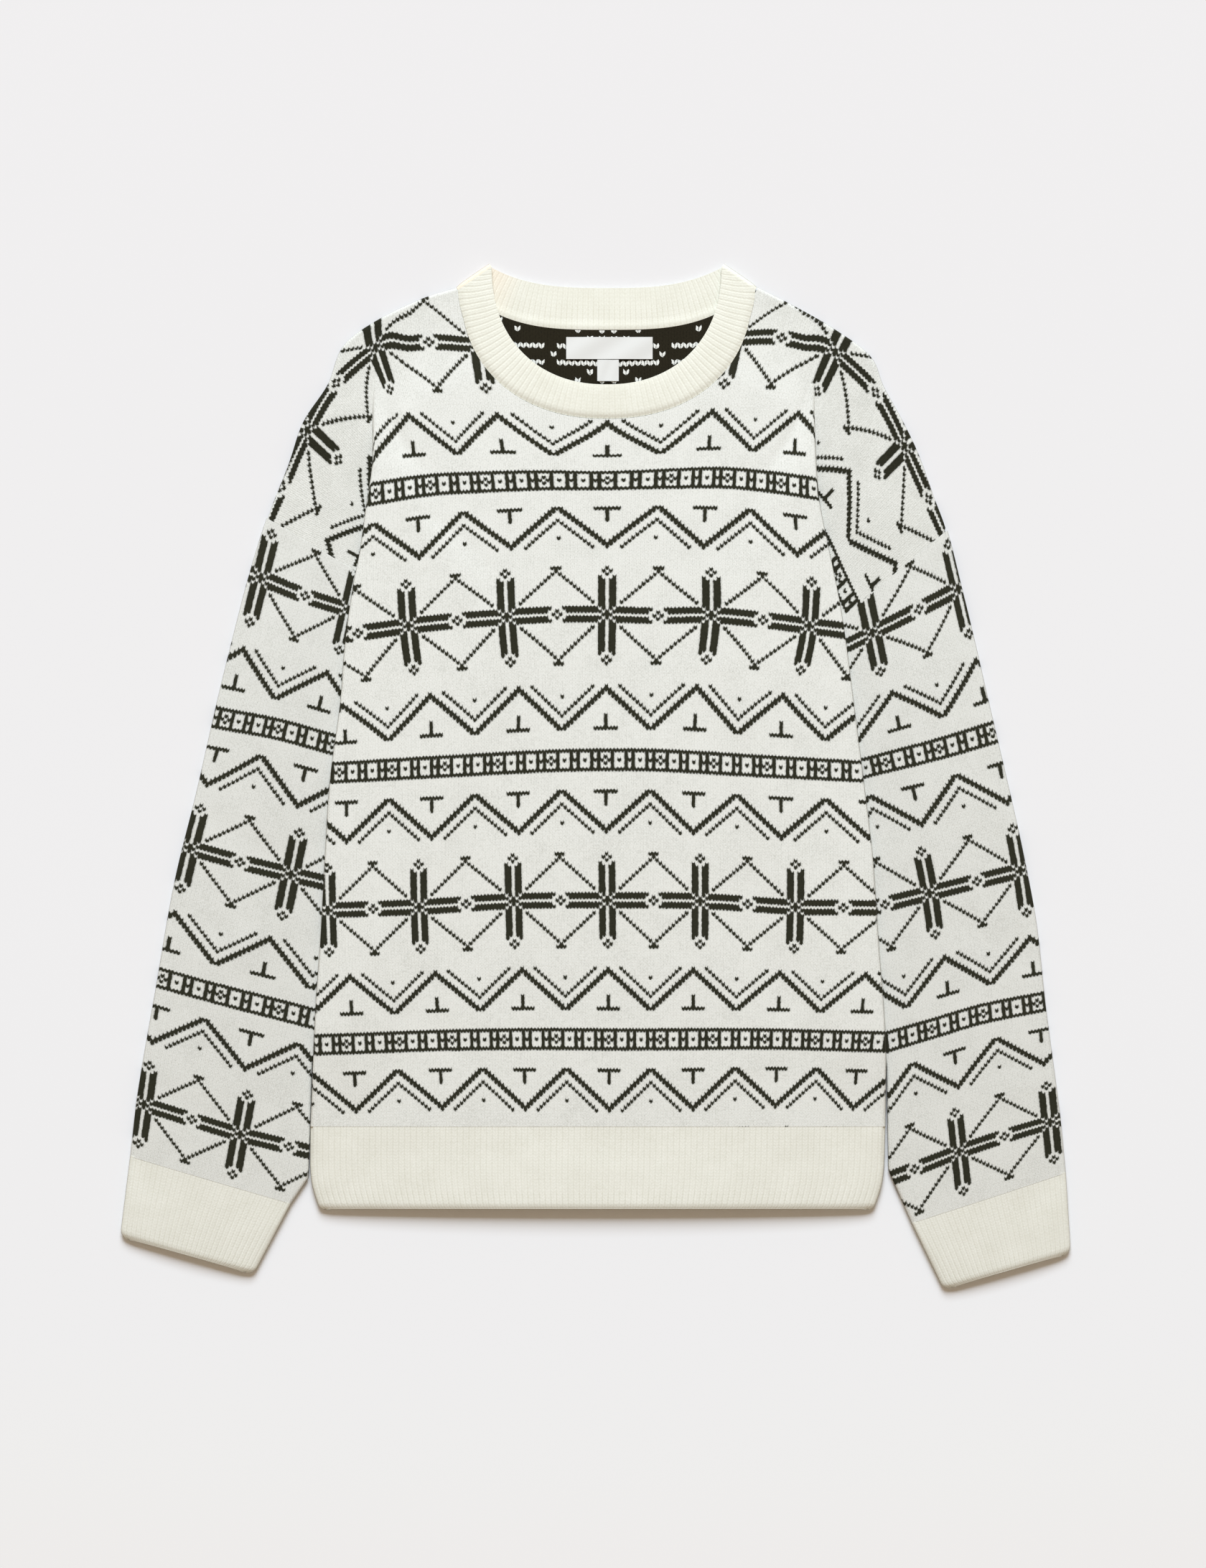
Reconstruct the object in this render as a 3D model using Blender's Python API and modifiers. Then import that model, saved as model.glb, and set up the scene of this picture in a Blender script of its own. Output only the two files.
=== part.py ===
"""A fair isle jumper laid flat, front side up, with its sleeves brought down beside the body.

Lengths in the tables are millimetres. A place in the garment's plan is (down, out): down from
the top corner of the neckband, and out from the centre front. X runs across the garment, +Y
towards the neck and +Z up from the surface it lies on. The origin is the middle of its box, at
the height of that surface.

The body's front turns under at each side and lies on the sleeve. Above the underarm it turns
back out again, below it the cloth drops beside the sleeve and meets the back.
"""

import math

import bmesh
import bpy
from mathutils import Vector

MM = 0.001
TOP_Y = 366.7
CENTRE_X = 8.0
SEAM_GAP = 0.35
NECK_GAP = 1.35
FOLD_GAP = 0.6

CLOTH = 2.2
RIB_CLOTH = 2.6
RIB_RISE = 0.5
RIB_PITCH = 4.27

# Heights of the middle of each layer of cloth, from the surface up: the back, the front's lower
# layer beside it, and the front's top where it has turned under and back.
BACK_Z = CLOTH / 2
SLEEVE_RISE = 2.8
LOWER_Z = BACK_Z + SLEEVE_RISE
TURN_RADIUS = 1.3
BODY_EDGE_Z = LOWER_Z + 4 * TURN_RADIUS
SLEEVE_PUFF = 1.8
PUFF_CLEAR = 16.0
CUFF_BELLY = 0.8
HEM_BELLY = 2.6

# The neck: half widths and depths of its seam and its free edge, front and back.
NECK_SEAM = {"half": 104.0, "top": 16.9, "front": 109.0, "back": 45.0}
NECK_FREE = {"half": 81.3, "top": 2.5, "front": 85.0, "back": 15.2}
FRONT_CURVE = 2.2
BACK_SEAM_CURVE = 3.2
BACK_FREE_CURVE = 3.0
NECK_FOLD_Z = 4.6
NECK_FRONT_Z = 5.4
NECK_BACK_Z = RIB_CLOTH / 2

# The belly of the front, by distance down: the middle of the cloth's height.
BELLY = [(100, 5.4), (200, 6.4), (350, 7.0), (617, 7.2)]
BELLY_EDGE = 45.0
UNDER_MARGIN = 20.0

HEM_SEAM = 617.0
HEM_SETTLES = 540.0
HEM_EDGE_Z = 6.4

# Each side's tables. edge: where the body's front turns under (down, out). outline: the outer
# edge of the shoulder, then of the sleeve (down, out). The other entries are single places.
LEFT = {
    "sign": -1,
    "edge": [(24, 105.2), (40, 131), (53, 150), (66, 163), (86, 166.3), (141, 167.9),
             (169, 172), (206, 177.2), (229, 181.8), (270, 187.5), (314, 191.1),
             (368, 198.3), (422, 201.9), (487, 205.5), (529, 208.6), (572, 210.6),
             (617, 212.7)],
    "outline": [(14.4, 105.6), (21.6, 129.3), (37.6, 163.3), (56.1, 188.5), (84.5, 200.3),
                (111.2, 217.8), (140.6, 228.1), (180.3, 244.1), (223.5, 257.5),
                (263.2, 267.8), (306.9, 278.6), (377, 294.6), (439.8, 310),
                (518.6, 323.9), (593.3, 336.8), (638.1, 342)],
    "tip": (180.3, 244.1),
    "underarm": (262.7, 105.6),
    "sleeve_clears": 575.0,
    "sleeve_corner": (654.1, 214.0),
    "cuff_seam": ((638.1, 342.0), (672.6, 226.6)),
    "cuff_end": ((695.5, 349.2), (722.5, 253.0)),
    "hem": [(617.3, 212.7), (655, 212.2), (675.5, 206.5)],
}
RIGHT = {
    "sign": 1,
    "edge": [(24, 105.2), (40, 127), (53, 142), (66, 149), (86, 148.5), (107, 148.3),
             (163, 151.9), (187, 156), (209, 160.7), (251, 168.9), (325, 178.7),
             (399, 188), (427, 191.1), (481, 194.7), (550, 199.8), (596, 200.3),
             (617, 200.1)],
    "outline": [(12.4, 104), (29.9, 138), (44.3, 162.7), (64.4, 189.5), (85.5, 198.8),
                (111.8, 213.2), (133.4, 223.5), (167.9, 236.4), (189, 244.6),
                (227.6, 254.4), (261.6, 262.7), (310.5, 274), (381.1, 290.5),
                (425.4, 300.2), (470.2, 308.5), (529.9, 315.2), (608.2, 325.5),
                (649.9, 329.6)],
    "tip": (189.0, 244.6),
    "underarm": (291.5, 120.5),
    "sleeve_clears": 575.0,
    "sleeve_corner": (648.4, 202.2),
    "cuff_seam": ((649.9, 329.6), (686.5, 218.9)),
    "cuff_end": ((707.1, 333.2), (733.4, 241.5)),
    "hem": [(617.3, 200.1), (655, 198.3), (675.5, 192.1)],
}

# Rows of the panels: down at the body's edge, and down at the outline where that differs.
SHOULDER_ROWS = [(24, 14.8), (30, 19), (40, 28), (53, 42), (66, 60), (80, 80)]
FRONT_ROWS = [95, 110, 125, 140, 153, 166, 180.3, 189, 203, 219, 235, 250, 256.2, 260.2,
              264.2, 268.2, 285, 289, 293, 297, 330, 370, 410, 450, 490, 530, 560, 575,
              590, 605, 617]
BACK_ROWS = [95, 110, 125, 140, 153, 166, 180.3, 189, 219, 256.2, 257.8, 268.2, 285, 286.6,
             297, 330, 450, 575, 590, 617]
# Where the side's fold starts, and over what run it is turned under. The outline's roll fades
# before the armhole, and the cloth starts to drop beside the sleeve before the underarm.
FOLD_START = 66.0
FOLD_RUN = 84.0
TUCK_START = 136.0
ROLL_FADE = 40.0
DROP_START = 6.5
DROP_RUN = 12.0
EDGE_SETTLES = 20.0

LABEL = {"width": 62.0, "height": 15.8, "thick": 0.6, "down": 58.4, "out": 2.0}
SIZE_LABEL = {"width": 15.4, "height": 15.4, "thick": 0.6, "down": 74.4, "out": 1.0}

MATERIALS = {
    "jacquard_knit": {"color": (0.78, 0.78, 0.74, 1), "roughness": 0.95},
    "rib_knit": {"color": (0.84, 0.82, 0.72, 1), "roughness": 0.95},
    "satin": {"color": (0.88, 0.88, 0.86, 1), "roughness": 0.45},
}


def smooth(value):
    """0 below 0, 1 above 1, and an even rise between them."""
    value = min(max(value, 0.0), 1.0)
    return value * value * (3 - 2 * value)


def along(table, down):
    """The second column of a two-column table at a distance down, on a smooth curve."""
    if down <= table[0][0]:
        return table[0][1]
    if down >= table[-1][0]:
        return table[-1][1]
    k = next(i for i in range(len(table) - 1) if down <= table[i + 1][0])
    (x0, y0), (x1, y1) = table[k], table[k + 1]
    before = table[max(k - 1, 0)]
    after = table[min(k + 2, len(table) - 1)]
    slope0 = (y1 - before[1]) / (x1 - before[0])
    slope1 = (after[1] - y0) / (after[0] - x0)
    run = x1 - x0
    t = (down - x0) / run
    return (
        (2 * t**3 - 3 * t**2 + 1) * y0
        + (t**3 - 2 * t**2 + t) * run * slope0
        + (3 * t**2 - 2 * t**3) * y1
        + (t**3 - t**2) * run * slope1
    )


def on_line(start, end, down):
    """How far out a straight line between two places is, at a distance down."""
    t = (down - start[0]) / (end[0] - start[0])
    return start[1] + (end[1] - start[1]) * t


def place(side, down, out, z):
    """A point of the model, in metres, from its place in the plan and its height."""
    x = CENTRE_X + side["sign"] * out
    return Vector((x * MM, (TOP_Y - down) * MM, z * MM))


def sleeve_inner(side, down):
    """The line that the sleeve's inner fold follows under the body, then beside it."""
    clears = side["sleeve_clears"]
    if down <= clears:
        return on_line(side["underarm"], (clears, along(side["edge"], clears) + 0.6), down)
    return along(side["edge"], down) + 0.6


def walk(start, heading, moves):
    """Points of a section, from its moves: (length, turn in degrees, steps) in turn."""
    x, z = start
    points = []
    for length, turn, steps in moves:
        step = length / steps
        bend = math.radians(turn) / steps
        for _ in range(steps):
            heading += bend / 2
            x += step * math.cos(heading)
            z += step * math.sin(heading)
            heading += bend / 2
            points.append((x, z))
    return points


def turn_length(radius, degrees, least=0.8):
    """The length of a turn's chords, never so short that its points meet."""
    return max(radius * math.radians(abs(degrees)), least)


def on_body(side, down):
    """True where the front's edge folds over its own lower layer, above the underarm."""
    return down < side["underarm"][0] - DROP_START + 0.1


def first_turn(side, down):
    """The radius of the front's turn at the body's edge: rounder where no sleeve is under it."""
    return TURN_RADIUS + 1.2 * smooth((down - side["sleeve_clears"]) / EDGE_SETTLES)


def fold_start(side, down):
    """How far out the front is where it starts to turn under."""
    turning = smooth((down - FOLD_START) / FOLD_RUN)
    return along(side["edge"], down) - CLOTH / 2 - first_turn(side, down) * turning


def tuck(side, down):
    """(turn in degrees, width) of the cloth that the body's edge folds under."""
    turn = 180 * smooth((down - FOLD_START) / FOLD_RUN)
    if down < FOLD_START:
        return 0.0, 0.5
    underarm_down, underarm_out = side["underarm"]
    full = along(side["edge"], underarm_down) - CLOTH / 2 - TURN_RADIUS - underarm_out + 3.0
    share = (down - TUCK_START) / (underarm_down - TUCK_START)
    return turn, max(full * share, 0.5)


def lean(side, down):
    """How much further a wall along the outline reaches across than it is thick."""
    run = 8.0
    rise = along(side["outline"], down + run / 2) - along(side["outline"], down - run / 2)
    return math.hypot(1.0, rise / run)


def outer_end(side, down):
    """Where the front's lower layer ends: at the outline, or at the armhole's seam."""
    if down <= side["tip"][0]:
        return along(side["outline"], down) - CLOTH / 2 * lean(side, down)
    return on_line(side["tip"], side["underarm"], down) - SEAM_GAP / 2


def roll_angle(side, down):
    """How far the outline is rolled down towards the surface, in degrees."""
    return 90 * min((side["tip"][0] - down) / ROLL_FADE, 1.0)


def edge_section(side, down, reach):
    """The moves of the front's section beyond the body's edge.

    reach is the distance, in plan, from the body's edge to where the section has to end.
    """
    radius = TURN_RADIUS
    if on_body(side, down):
        turn, width = tuck(side, down)
        arc = turn_length(radius, turn)
        moves = [(arc, -turn, 4), (width, 0, 1), (arc, turn, 3)]
        x = walk((0, 0), 0.0, moves)[-1][0]
        if down <= side["tip"][0]:
            angle = roll_angle(side, down)
            rolled = [(turn_length(radius, 90), -angle, 2), (LOWER_Z - radius - 0.3, 0, 1)]
            straight = reach - x - walk((0, 0), 0.0, rolled)[-1][0]
            moves += [(straight, 0, 3)] + rolled
        else:
            rest = reach - x
            moves += [(rest * 0.6, 0, 3), (rest * 0.3, 0, 2), (rest * 0.1, 0, 1)]
        return moves
    # Below the underarm: over the sleeve, down beside it and in along the surface.
    clear = smooth((down - side["sleeve_clears"]) / EDGE_SETTLES)
    over = 90 * (1 - clear)
    across = 0.3 if clear > 0 else max(-reach - radius, 0.3)
    slope = 90 * min((down - side["underarm"][0] + DROP_START) / DROP_RUN, 1.0)
    moves = [
        (turn_length(first_turn(side, down), 90 + over), -90 - over, 4),
        (across, 0, 1),
        (turn_length(radius, over + 90 - slope), over + 90 - slope, 3),
    ]
    foot = [(turn_length(radius, 90), -slope, 2), (1.0, 0, 1)]
    z = body_edge_height(side, down) + walk((0, 0), 0.0, moves)[-1][1]
    z += walk((0, 0), -math.radians(slope), foot)[-1][1]
    fall = max((z - BACK_Z) / math.sin(math.radians(slope)), 0.3)
    return moves + [(fall, 0, 3)] + foot


def body_edge_height(side, down):
    """The middle height of the front's cloth where it starts to turn under."""
    if not on_body(side, down):
        settle = smooth((down - HEM_SETTLES) / (HEM_SEAM - HEM_SETTLES))
        return BODY_EDGE_Z + (HEM_EDGE_Z - BODY_EDGE_Z) * settle
    turn, width = tuck(side, down)
    bend = math.radians(turn)
    return LOWER_Z + 2 * TURN_RADIUS * (1 - math.cos(bend)) + width * math.sin(bend)


def neck_point(half, top, bottom, power, share):
    """(down, out) on a neck curve: share 0 at the centre, 1 at the shoulder."""
    angle = share * math.pi / 2
    out = half * math.sin(angle) ** (2 / power)
    down = top + (bottom - top) * math.cos(angle) ** (2 / power)
    return down, out


def even_shares(curve, count, end=1.0):
    """Shares up to end that split a neck curve into stretches of equal length."""
    fine = 400
    points = [curve(i / fine) for i in range(fine + 1)]
    run = [0.0]
    for a, b in zip(points, points[1:]):
        run.append(run[-1] + math.dist(a, b))
    shares = []
    k = 0
    for i in range(count + 1):
        goal = run[-1] * i / count
        while k < fine - 1 and run[k + 1] < goal:
            k += 1
        shares.append(end * (k + (goal - run[k]) / (run[k + 1] - run[k])) / fine)
    return shares


def front_neck(share):
    """The front panel's edge along the neckband."""
    seam = NECK_SEAM
    return neck_point(
        seam["half"] + NECK_GAP, seam["top"], seam["front"] + NECK_GAP, FRONT_CURVE, share
    )


def back_neck(share):
    """The back panel's edge along the neckband."""
    seam = NECK_SEAM
    angle = share * math.pi / 2
    out = (seam["half"] + NECK_GAP) * math.sin(angle)
    rise = 1 - (out / (seam["half"] + NECK_GAP)) ** BACK_SEAM_CURVE
    return seam["top"] + NECK_GAP + (seam["back"] - seam["top"]) * rise, out


def new_object(name, mesh, material):
    obj = bpy.data.objects.new(name, mesh)
    obj.data.materials.append(material)
    mesh.shade_smooth()
    mesh.set_sharp_from_angle(angle=math.radians(50))
    collection.objects.link(obj)
    return obj


def grid_mesh(name, rows, closed=False):
    """A sheet through rows of points; closed joins each row's last point to its first."""
    mesh = bpy.data.meshes.new(name)
    bm = bmesh.new()
    grid = [[bm.verts.new(point) for point in row] for row in rows]
    columns = len(rows[0])
    for upper, lower in zip(grid, grid[1:]):
        for j in range(columns if closed else columns - 1):
            k = (j + 1) % columns
            bm.faces.new((upper[j], lower[j], lower[k], upper[k]))
    bm.to_mesh(mesh)
    bm.free()
    return mesh


def cloth(name, rows, material, closed=False):
    """One piece of the knit: a sheet along the middle of the cloth, given its thickness."""
    obj = new_object(name, grid_mesh(name, rows, closed), material)
    wall = obj.modifiers.new("Cloth", "SOLIDIFY")
    wall.thickness = CLOTH * MM
    wall.offset = 0
    return obj


def ribbed(name, outer, inner):
    """A ribbed ring of wall, between an outer sheet and an inner one over the same rows."""
    mesh = bpy.data.meshes.new(name)
    bm = bmesh.new()
    outside = [[bm.verts.new(point) for point in row] for row in outer]
    inside = [[bm.verts.new(point) for point in row] for row in inner]
    count = len(outer[0])
    for j in range(count):
        k = (j + 1) % count
        for a, b in zip(outside, outside[1:]):
            bm.faces.new((a[j], b[j], b[k], a[k]))
        for a, b in zip(inside, inside[1:]):
            bm.faces.new((a[k], b[k], b[j], a[j]))
        bm.faces.new((outside[0][j], outside[0][k], inside[0][k], inside[0][j]))
        bm.faces.new((outside[-1][k], outside[-1][j], inside[-1][j], inside[-1][k]))
    bmesh.ops.recalc_face_normals(bm, faces=bm.faces)
    bm.to_mesh(mesh)
    bm.free()
    return new_object(name, mesh, rib)


def share_at(curve, down):
    """The share of a neck curve where it is a distance down, near the shoulder."""
    low, high = 0.0, 1.0
    for _ in range(40):
        middle = (low + high) / 2
        if curve(middle)[0] > down:
            low = middle
        else:
            high = middle
    return low


def neck_columns(curve, down, count):
    """The places where a panel's columns start on its neck, from the centre to a depth."""
    end = share_at(curve, down)
    return [curve(share) for share in even_shares(lambda t: curve(t * end), count, end)]


def column_place(columns, j, start_out, down, run):
    """(down, out) of column j in the row that reaches the body's edge at a distance down.

    The rows start along the neck and are straight and even from a run below it.
    """
    neck_down, neck_out = columns[j]
    first, width = columns[-1]
    spread = smooth((down - first) / run)
    ratio = (1 - spread) * neck_out / width + spread * j / (len(columns) - 1)
    return down + (neck_down - first) * (1 - spread), start_out * ratio


def front_panel():
    """The front: belly, both body edges with their tucks, and the shoulders beside them."""
    columns = neck_columns(front_neck, SHOULDER_ROWS[0][0], 10)
    sheet = []
    for down, outline_down in SHOULDER_ROWS + [(down, down) for down in FRONT_ROWS]:
        halves = []
        for side in (LEFT, RIGHT):
            start_out = fold_start(side, down)
            edge_z = body_edge_height(side, down)
            blend = BELLY_EDGE
            blend += (start_out - BELLY_EDGE) * (1 - smooth((down - 40) / 60))
            inner = start_out - under_width(side, down) - blend
            half = []
            for j in range(len(columns)):
                row_down, out = column_place(columns, j, start_out, down, 250)
                lift = smooth((out - inner) / blend)
                z = along(BELLY, row_down) * (1 - lift) + edge_z * lift
                half.append(place(side, row_down, out, z))
            half += beyond_edge(side, down, outline_down, start_out, edge_z)
            halves.append(half)
        sheet.append(halves[0][::-1] + halves[1][1:])
    return cloth("front_panel", sheet, knit)


def under_width(side, down):
    """How far in from its edge the front still has to clear the layers beneath it."""
    if down < FOLD_START:
        return 0.0
    if on_body(side, down):
        width = tuck(side, down)[1]
    else:
        width = max(along(side["edge"], down) - sleeve_inner(side, down), 0.0)
    return width + UNDER_MARGIN * smooth((down - FOLD_START) / 40)


def beyond_edge(side, down, outline_down, start_out, edge_z):
    """The front's points past the body's edge, in the upright plane that its row lies in."""
    if outline_down == down:
        if on_body(side, down):
            reach = outer_end(side, down) - start_out
        else:
            reach = inner_reach(side, down, start_out)
        points = walk((start_out, edge_z), 0.0, edge_section(side, down, reach))
        return [place(side, down, x, z) for x, z in points]
    flat = Vector((outline_down - down, along(side["outline"], outline_down) - start_out))
    way = flat.normalized()
    moves = edge_section(side, down, flat.length - CLOTH / 2)
    return [
        place(side, down + way.x * s, start_out + way.y * s, z)
        for s, z in walk((0.0, edge_z), 0.0, moves)
    ]


def inner_reach(side, down, start_out):
    """From where the front turns under to where it drops beside the sleeve, in plan."""
    return sleeve_inner(side, down) - FOLD_GAP - CLOTH / 2 - start_out


def front_inner_end(side, down):
    """How far out the front's cloth ends on the surface, below the underarm."""
    start_out = fold_start(side, down)
    moves = edge_section(side, down, inner_reach(side, down, start_out))
    return walk((start_out, body_edge_height(side, down)), 0.0, moves)[-1][0]


def outline_inset(side, down, inset):
    """The place inside the outline, at right angles to it."""
    run = 6.0
    ahead = along(side["outline"], down + run / 2) - along(side["outline"], down - run / 2)
    across = Vector((ahead, -run)).normalized()
    return Vector((down, along(side["outline"], down))) + across * inset


def back_half_width(side, down):
    """How far out the back panel goes, below the shoulder: just short of what is there."""
    if on_body(side, down):
        return on_line(side["tip"], side["underarm"], down) - SEAM_GAP / 2
    return front_inner_end(side, max(down, side["underarm"][0] + 5.5)) - SEAM_GAP


def back_panel():
    """The back: one flat layer on the surface."""
    columns = neck_columns(back_neck, SHOULDER_ROWS[0][0], 7)
    beyond = 2
    sheet = []
    for down, outline_down in SHOULDER_ROWS + [(down, down) for down in BACK_ROWS]:
        halves = []
        for side in (LEFT, RIGHT):
            end_down, end_out = down, back_half_width(side, down)
            if down <= side["tip"][0]:
                inset = CLOTH + SEAM_GAP + 3.0 * (1 - roll_angle(side, down) / 90) ** 0.5
                end_down, end_out = outline_inset(side, outline_down, inset)
            lined_up = smooth((down - SHOULDER_ROWS[0][0]) / 40)
            edge_out = min(along(side["edge"], down) - 4.0, end_out - 6.0) * lined_up
            edge_out += columns[-1][1] * (1 - lined_up)
            half = []
            for j in range(len(columns)):
                row_down, out = column_place(columns, j, edge_out, down, 150)
                half.append(place(side, row_down, out, BACK_Z))
            for j in range(1, beyond + 1):
                t = j / beyond
                row_down = down + (end_down - down) * t
                out = edge_out + (end_out - edge_out) * t
                half.append(place(side, row_down, out, BACK_Z))
            halves.append(half)
        sheet.append(halves[0][::-1] + halves[1][1:])
    return cloth("back_panel", sheet, knit)


def flat_tube(radius, upper, lower, turns=4):
    """A flattened tube's section, as (t, sideways, up) from the outer fold round.

    upper and lower are the numbers of steps across the two walls. t is 0 at the outer fold and
    1 at the inner one, sideways is how far a fold's curve reaches past them, and up is the
    height of the outward direction: 1 on the upper wall, -1 on the lower one.
    """
    section = [(j / lower, 0.0, -1.0) for j in range(lower + 1)]
    for j in range(1, turns):
        angle = -math.pi / 2 + math.pi * j / turns
        section.append((1.0, radius * math.cos(angle), math.sin(angle)))
    section += [(1 - j / upper, 0.0, 1.0) for j in range(upper + 1)]
    for j in range(1, turns):
        angle = math.pi / 2 - math.pi * j / turns
        section.append((0.0, -radius * math.cos(angle), math.sin(angle)))
    return section


def station_line(outer, inner, inset):
    """(start, direction, length) of a tube's station, between the middles of its two folds."""
    outer, inner = Vector(outer), Vector(inner)
    way = (inner - outer).normalized()
    return outer + way * inset, way, (inner - outer).length - 2 * inset


def sleeve(side, name):
    """A sleeve: a flattened tube from the armhole's seam to the cuff's."""
    stations = 14
    radius = SLEEVE_RISE / 2
    tip, underarm = side["tip"], side["underarm"]
    inner_start = Vector(tip).lerp(Vector(underarm), 0.91)
    cuff_outer, cuff_inner = side["cuff_seam"]
    sheet = []
    for i in range(stations + 1):
        t = i / stations
        gap = FOLD_GAP * (1 - t)
        outer_down = tip[0] + (cuff_outer[0] - tip[0]) * t
        outer = (outer_down + gap, along(side["outline"], outer_down))
        inner_down, inner_out = inner_place(side, inner_start, cuff_inner, t)
        start, way, span = station_line(outer, (inner_down + gap, inner_out), radius + CLOTH / 2)
        row = []
        for across, sideways, up in flat_tube(radius, 8, 4):
            spot = start + way * (span * across + sideways)
            height = BACK_Z + radius + up * radius
            if up == 1.0:
                height += puff(side, spot, t)
            row.append(place(side, spot.x, spot.y, height))
        sheet.append(row)
    return cloth(name, sheet, knit, closed=True)


def inner_place(side, start, end, t):
    """The sleeve's inner fold: straight under the body, then beside it, then in to the cuff."""
    clears = side["sleeve_clears"]
    bends = [start, (clears, sleeve_inner(side, clears)), side["sleeve_corner"], end]
    runs = [math.dist(a, b) for a, b in zip(bends, bends[1:])]
    goal = t * sum(runs)
    for a, b, run in zip(bends, bends[1:], runs):
        if goal <= run + 1e-9:
            return a[0] + (b[0] - a[0]) * goal / run, a[1] + (b[1] - a[1]) * goal / run
        goal -= run
    return end


def puff(side, spot, t):
    """How far the sleeve's upper wall rises where nothing lies on it."""
    down, out = spot
    body = along(side["edge"], min(down, HEM_SEAM)) + PUFF_CLEAR
    outer = along(side["outline"], down)
    share = (out - body) / max(outer - body, 1.0)
    if not 0 < share < 1:
        return 0.0
    return SLEEVE_PUFF * math.sin(math.pi * share) * smooth(t / 0.2)


def rib_tube(name, stations, side, rise, belly, ribs):
    """A ribbed, flattened tube between stations, each the plan places of its two edges."""
    radius = rise / 2
    wall = RIB_CLOTH / 2
    section = flat_tube(radius, 2 * ribs, 6)
    outer_rows = []
    inner_rows = []
    for outer, inner in stations:
        start, way, span = station_line(outer, inner, radius + wall)
        outside = []
        inside = []
        for k, (across, sideways, up) in enumerate(section):
            spot = start + way * (span * across + sideways)
            height = wall + radius + up * radius
            ridge = 0.0
            if up == 1.0:
                height += belly * math.sin(math.pi * across) ** 0.5
                ridge = RIB_RISE if k % 2 else 0.0
            level = way * (sideways / radius)
            out_spot = spot + level * wall
            in_spot = spot - level * wall
            outside.append(place(side, out_spot.x, out_spot.y, height + up * wall + ridge))
            inside.append(place(side, in_spot.x, in_spot.y, height - up * wall))
        outer_rows.append(outside)
        inner_rows.append(inside)
    return ribbed(name, outer_rows, inner_rows)


def cuff(side, name):
    """A cuff: a ribbed tube from the sleeve's end, a little narrower at its free edge."""
    seam, end = side["cuff_seam"], side["cuff_end"]
    apart = SEAM_GAP * 1.5
    start = [(down + apart, out) for down, out in seam]
    ribs = round(math.dist(*seam) / RIB_PITCH)
    return rib_tube(name, [start, end], side, SLEEVE_RISE + 0.2, CUFF_BELLY, ribs)


def hem_rib():
    """The hem: a ribbed tube below both panels, raised at its middle."""
    stations = []
    for (down, left), (_, right) in zip(LEFT["hem"], RIGHT["hem"]):
        stations.append(((down, -left), (down, right)))
    ribs = round(math.dist(*stations[0]) / RIB_PITCH)
    return rib_tube("hem_rib", stations, RIGHT, SLEEVE_RISE + 0.6, HEM_BELLY, ribs)


def ring_front(share, v):
    """(place, height) on the neckband's front: share 0 at the centre, v 0 at the seam."""
    a, b = (
        neck_point(line["half"], line["top"], line["front"], FRONT_CURVE, share)
        for line in (NECK_SEAM, NECK_FREE)
    )
    z = NECK_FOLD_Z + (NECK_FRONT_Z - NECK_FOLD_Z) * math.cos(share * math.pi / 2)
    return Vector(a).lerp(Vector(b), v), z


def ring_back(share, v):
    """(place, height) on the neckband's back: share 0 at the centre, v 0 at the seam."""
    ends = []
    for line, power in ((NECK_SEAM, BACK_SEAM_CURVE), (NECK_FREE, BACK_FREE_CURVE)):
        rise = (line["back"] - line["top"]) * (1 - share**power)
        ends.append(Vector((line["top"] + rise, share * line["half"])))
    return ends[0].lerp(ends[1], v), NECK_BACK_Z


def neckband():
    """The neckband: a ribbed ring, its front lying over its back, folded at the shoulders."""
    outer_rows = []
    inner_rows = []
    for v in (0.0, 1.0):
        outside = []
        inside = []
        for layer, half_ribs, first, last in (
            (ring_front, 37, LEFT, RIGHT),
            (ring_back, 26, RIGHT, LEFT),
        ):
            shares = even_shares(lambda t: tuple(layer(t, 0.0)[0]), 2 * half_ribs)
            stops = [(share, first) for share in reversed(shares)]
            stops += [(share, last) for share in shares[1:]]
            facing = outside if layer is ring_front else inside
            resting = inside if layer is ring_front else outside
            for k, (share, side) in enumerate(stops):
                spot, z = layer(share, v)
                ridge = RIB_RISE if k % 2 else 0.0
                facing.append(place(side, spot.x, spot.y, z + RIB_CLOTH / 2 + ridge))
                resting.append(place(side, spot.x, spot.y, z - RIB_CLOTH / 2))
            add_fold(outside, inside, v, last, 1 if layer is ring_front else -1)
        outer_rows.append(outside)
        inner_rows.append(inside)
    return ribbed("neckband", outer_rows, inner_rows)


def add_fold(outside, inside, v, side, down_or_up):
    """The neckband's turn at a shoulder, from its front to its back or the other way."""
    seam_end = Vector((NECK_SEAM["top"], NECK_SEAM["half"]))
    free_end = Vector((NECK_FREE["top"], NECK_FREE["half"]))
    edge = (free_end - seam_end).normalized()
    way = Vector((edge.y, -edge.x))
    spot = seam_end.lerp(free_end, v)
    radius = (NECK_FOLD_Z - NECK_BACK_Z) / 2
    middle = (NECK_FOLD_Z + NECK_BACK_Z) / 2
    turns = 4
    for j in range(1, turns):
        angle = (math.pi / 2 - math.pi * j / turns) * down_or_up
        for points, reach in ((outside, radius + RIB_CLOTH / 2), (inside, radius - RIB_CLOTH / 2)):
            reached = spot + way * (reach * math.cos(angle))
            points.append(place(side, reached.x, reached.y, middle + reach * math.sin(angle)))


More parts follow.
